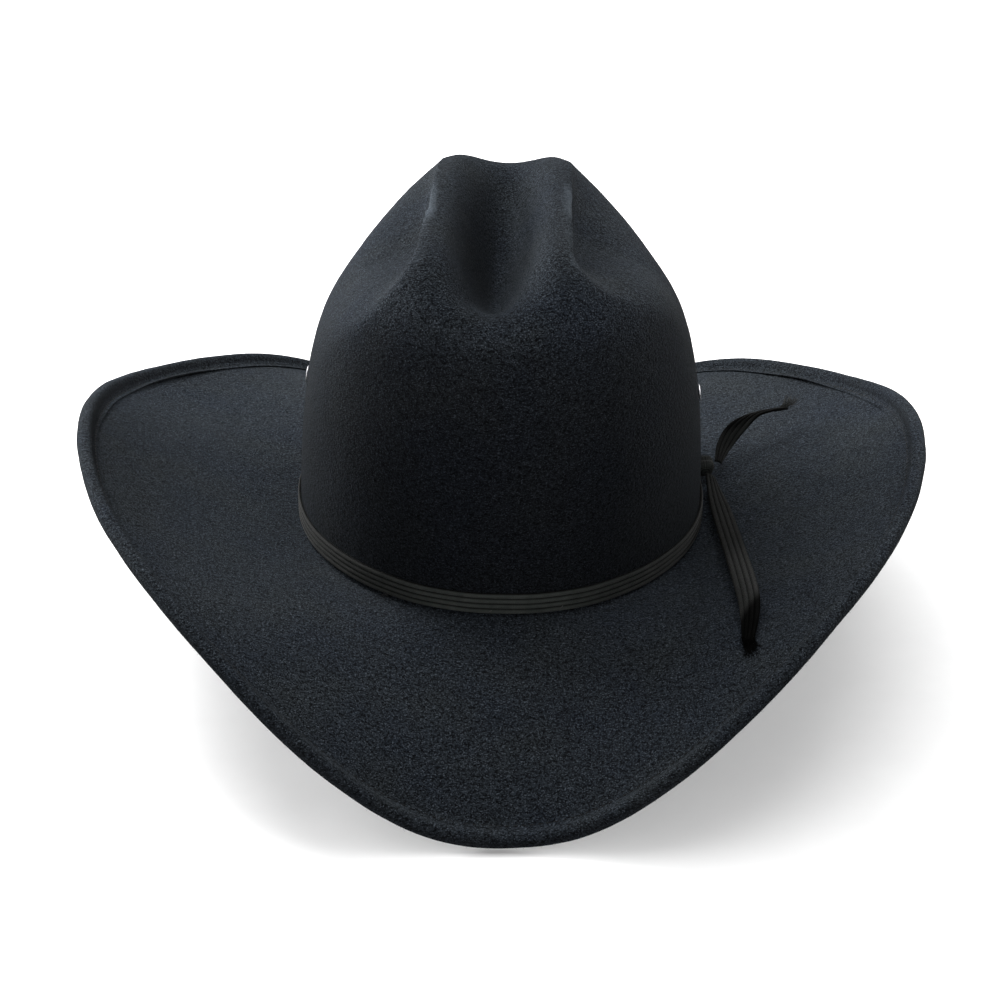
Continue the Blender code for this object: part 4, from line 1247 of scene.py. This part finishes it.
def make_bow(offset, height, surface):
    """Little satin bow at the back of the sweatband: two loops and a crossed waist."""
    rows, columns = 97, 28
    side, turn = tube_grid(rows, columns)
    tall = 0.0013 + 0.0034 * np.sin(pi * np.minimum(np.abs(side), 0.9) / 1.25) ** 2
    tall = tall * np.sqrt(np.clip(1 - np.abs(side) ** 14, 0.0, 1.0)) + 1e-5
    thick = 0.0006 + 0.0004 * np.sin(pi * np.abs(side)) ** 2
    pleat = 1 - 0.16 * np.cos(3 * turn) * np.exp(-np.abs(side) * 3)
    waist = 1 + 0.45 * np.exp(-(side / 0.13) ** 4)
    outer = offset - CLEARANCE - 0.0002
    reach = outer - thick + thick * np.cos(turn) * pleat * waist
    rise = height + tall * np.sin(turn) * pleat
    points = on_oval(pi / 2 + side * BOW_HALF_ANGLE, np.minimum(reach, outer), rise)
    cloth = np.stack([side * 0.0145, np.sin(turn) * tall], -1)
    faces = tube_faces(rows, columns)
    bow = outward_faces(mesh_object("sweatband_back_bow", points, faces, surface, cloth))
    link(bow, ["sweatband_bow"])


def make_size_tab(offset, height, surface):
    """Blank woven tab on the sweatband, bent with it, with folded ends."""
    rows, columns = 40, 24
    side, turn = tube_grid(rows, columns)
    square = signed_power(np.sin(turn), 0.25)
    thick = 0.0002 * signed_power(np.cos(turn), 0.25)
    outer = offset - CLEARANCE - 0.0004
    angle = TAB_ANGLE + side * TAB_HALF_WIDTH / 0.09
    points = on_oval(angle, outer + thick, height + TAB_HALF_HEIGHT + 0.0054 * square)
    cloth = np.stack([side * TAB_HALF_WIDTH, square * TAB_HALF_HEIGHT], -1)
    faces = tube_faces(rows, columns)
    tab = outward_faces(mesh_object("sweatband_size_tab", points, faces, surface, cloth))
    link(tab, ["size_tab"])


def lining_offset(height):
    """Offset of the lining's outer face: tucked behind the sweatband, then tapering in."""
    along = (height - LINING_BEND) / (LINING_TOP - LINING_BEND)
    start = -FELT / 2 - 2 * CLEARANCE - LINING_LEAN * np.maximum(height - LINING_LEAN_START, 0.0)
    return start - LINING_TAPER * np.maximum(along, 0.0) ** 1.1


def make_lining(satin, film):
    """Satin side band, gathered towards the tip, the tip itself and its clear shield."""
    angles = np.linspace(-pi, pi, 720, endpoint=False)
    rise = np.linspace(LINING_TOP, LINING_FOOT, 24)
    outer = lining_offset(rise)
    offsets = np.concatenate([outer, outer[::-1] - LINING_THICKNESS])
    heights = np.concatenate([rise, rise[::-1]])

    def gather(points, angle, offset, height):
        along = ease(height, LINING_BEND + 0.004, LINING_TOP)
        pleat = np.sin(PLEAT_COUNT * angle + 1.4 * np.sin(5 * angle)) * 0.6
        pleat = pleat + 0.4 * np.sin(31 * angle + 2.0)
        shift = -np.abs(pleat) * PLEAT_DEPTH * along
        return points + way_out(angle) * shift[..., None]

    side_band = closed_ring("lining_side", (offsets, heights), angles, satin, gather)
    link(side_band, ["lining_side_band"])
    rim = on_oval(angles, lining_offset(LINING_BEND), 0.0)
    rim_offset = lining_offset(LINING_TOP)
    top = LINING_TOP + CLEARANCE + 2 * LINING_THICKNESS
    shares = np.linspace(0, 1, 40)[1:]
    grid_angle, grid_share = np.meshgrid(angles[::4], shares, indexing="ij")
    x, y = oval(grid_angle, rim_offset)
    quilt = np.sin(grid_share * 38) * 0.00008 * ease(1 - grid_share, 0, 0.4)
    pucker = np.sin(PLEAT_COUNT * grid_angle) * 0.00012 * ease(grid_share, 0.8, 1.0)
    upper = join_axes(x * grid_share, y * grid_share, BREAK_HEIGHT + top + quilt + pucker)
    lower = upper - np.array([0, 0, LINING_THICKNESS])
    tip = plate("lining_tip_satin", upper, lower, satin)
    link(tip, ["lining_tip"])
    shield_top = top - LINING_THICKNESS - CLEARANCE
    x = SHIELD_HALF_WIDTH * grid_share * np.cos(grid_angle)
    y = SHIELD_HALF_LENGTH * grid_share * np.sin(grid_angle)
    upper = join_axes(x, y, BREAK_HEIGHT + shield_top + 0.00002 * np.sin(grid_share * 9))
    lower = upper - np.array([0, 0, SHIELD_THICKNESS])
    link(plate("tip_shield_film", upper, lower, film), ["tip_shield"])


def plate(name, upper, lower, surface):
    """Closed round plate from the rings of its upper and lower faces."""
    rings = np.concatenate([upper, lower[:, ::-1]], axis=1)
    points, faces = dish_mesh(rings, (upper[:, 0].mean(axis=0), lower[:, 0].mean(axis=0)))
    return outward_faces(mesh_object(name, points, faces, surface, points[:, :2]))


# ---------------------------------------------------------------- stage, light and camera

def make_camera():
    """Camera at the height and the lens of a table-top product view."""
    data = bpy.data.cameras.new("camera")
    data.lens = CAMERA_LENS
    data.shift_x = CAMERA_SHIFT
    data.clip_start = 0.05
    camera = add_to_scene(bpy.data.objects.new("camera", data))
    rise = cos(CAMERA_ELEVATION)
    ahead = Vector((sin(CAMERA_YAW) * rise, cos(CAMERA_YAW) * rise, -sin(CAMERA_ELEVATION)))
    right = Vector((cos(CAMERA_YAW), -sin(CAMERA_YAW), 0.0))
    turn = Matrix((right, right.cross(ahead), -ahead)).transposed().to_4x4()
    place = Vector((0, 0, CAMERA_AIM)) - ahead * CAMERA_DISTANCE
    camera.matrix_world = Matrix.Translation(place) @ turn @ Matrix.Rotation(CAMERA_ROLL, 4, "Z")
    bpy.context.scene.camera = camera


def area_light(name, place, target, size, power):
    """Round soft light that looks from a place at a target."""
    data = bpy.data.lights.new(name, "AREA")
    data.shape = "DISK"
    data.size = size
    data.energy = power
    light = add_to_scene(bpy.data.objects.new(name, data))
    way = Vector(target) - Vector(place)
    turn = way.to_track_quat("-Z", "Y").to_matrix().to_4x4()
    light.matrix_world = Matrix.Translation(place) @ turn


def make_stage():
    """Pale floor under a light sky, with a soft key, a wide top light and two low ones behind."""
    bpy.context.scene.view_settings.view_transform = "Standard"
    mesh = bpy.data.meshes.new("floor")
    corners = [(x * FLOOR_HALF, y * FLOOR_HALF, 0) for x, y in ((-1, -1), (1, -1), (1, 1), (-1, 1))]
    mesh.from_pydata(corners, [], [(0, 1, 2, 3)])
    floor = add_to_scene(bpy.data.objects.new("floor", mesh))
    floor.location.z = -FLOOR_DROP
    paper = Paint("floor_paper", 0.90, 0.9)
    base = paper.ramp(paper.noise(40), (0.3, 0.89), (0.7, 0.91))
    mesh.materials.append(paper.coat(base, values={"Specular IOR Level": 0.05}))
    world = bpy.data.worlds.new("studio")
    bpy.context.scene.world = world
    world.use_nodes = True
    sky = world.node_tree.nodes["Background"]
    sky.inputs["Color"].default_value = (1.0, 1.0, 1.0, 1.0)
    sky.inputs["Strength"].default_value = SKY
    for name, settings in LIGHTS.items():
        area_light(name, *settings)


# ---------------------------------------------------------------- the whole scene

def main():
    make_camera()
    make_stage()
    felt = felt_material()
    ribbon = ribbon_material()
    thread = thread_material("black_thread", (0.0015, 0.0017, 0.0020), (0.0065, 0.0070, 0.0080))
    pale_thread = thread_material("grey_thread", (0.03, 0.03, 0.03), (0.09, 0.09, 0.09))
    steel = metal_material("steel_wire", (0.28, 0.28, 0.29), (0.55, 0.55, 0.56), 0.35)
    gunmetal = metal_material("gunmetal", (0.16, 0.16, 0.17), (0.46, 0.46, 0.48), 0.28)
    leather = leather_material()
    tape = woven_material("black_tape", (0.006, 0.006, 0.007), (0.035, 0.035, 0.037), 900, 0.8, 0.1)
    satin = woven_material("black_satin", (0.009, 0.009, 0.012), (0.024, 0.024, 0.032), 1600, 0.32, 0.35)
    reed = reed_material()
    film = film_material()
    grid, normals, names = make_felt(felt)
    make_stitches(thread)
    make_fuzz(felt, grid, normals, names)
    make_band(ribbon, pale_thread, thread)
    make_knot(ribbon)
    make_tail("front", ribbon, (grid, normals))
    make_tail("back", ribbon, (grid, normals))
    make_vents(gunmetal)
    make_sweatband(leather, tape, pale_thread, satin)
    make_lining(satin, film)
    kept = {
        "brim_edge_wire": steel,
        "wire_sleeve": gunmetal,
        "sweatband_reed": reed,
        "vent_washer_left": gunmetal,
        "vent_washer_right": gunmetal,
    }
    for name, surface in kept.items():
        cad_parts[name].data.materials.clear()
        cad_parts[name].data.materials.append(surface)


main()
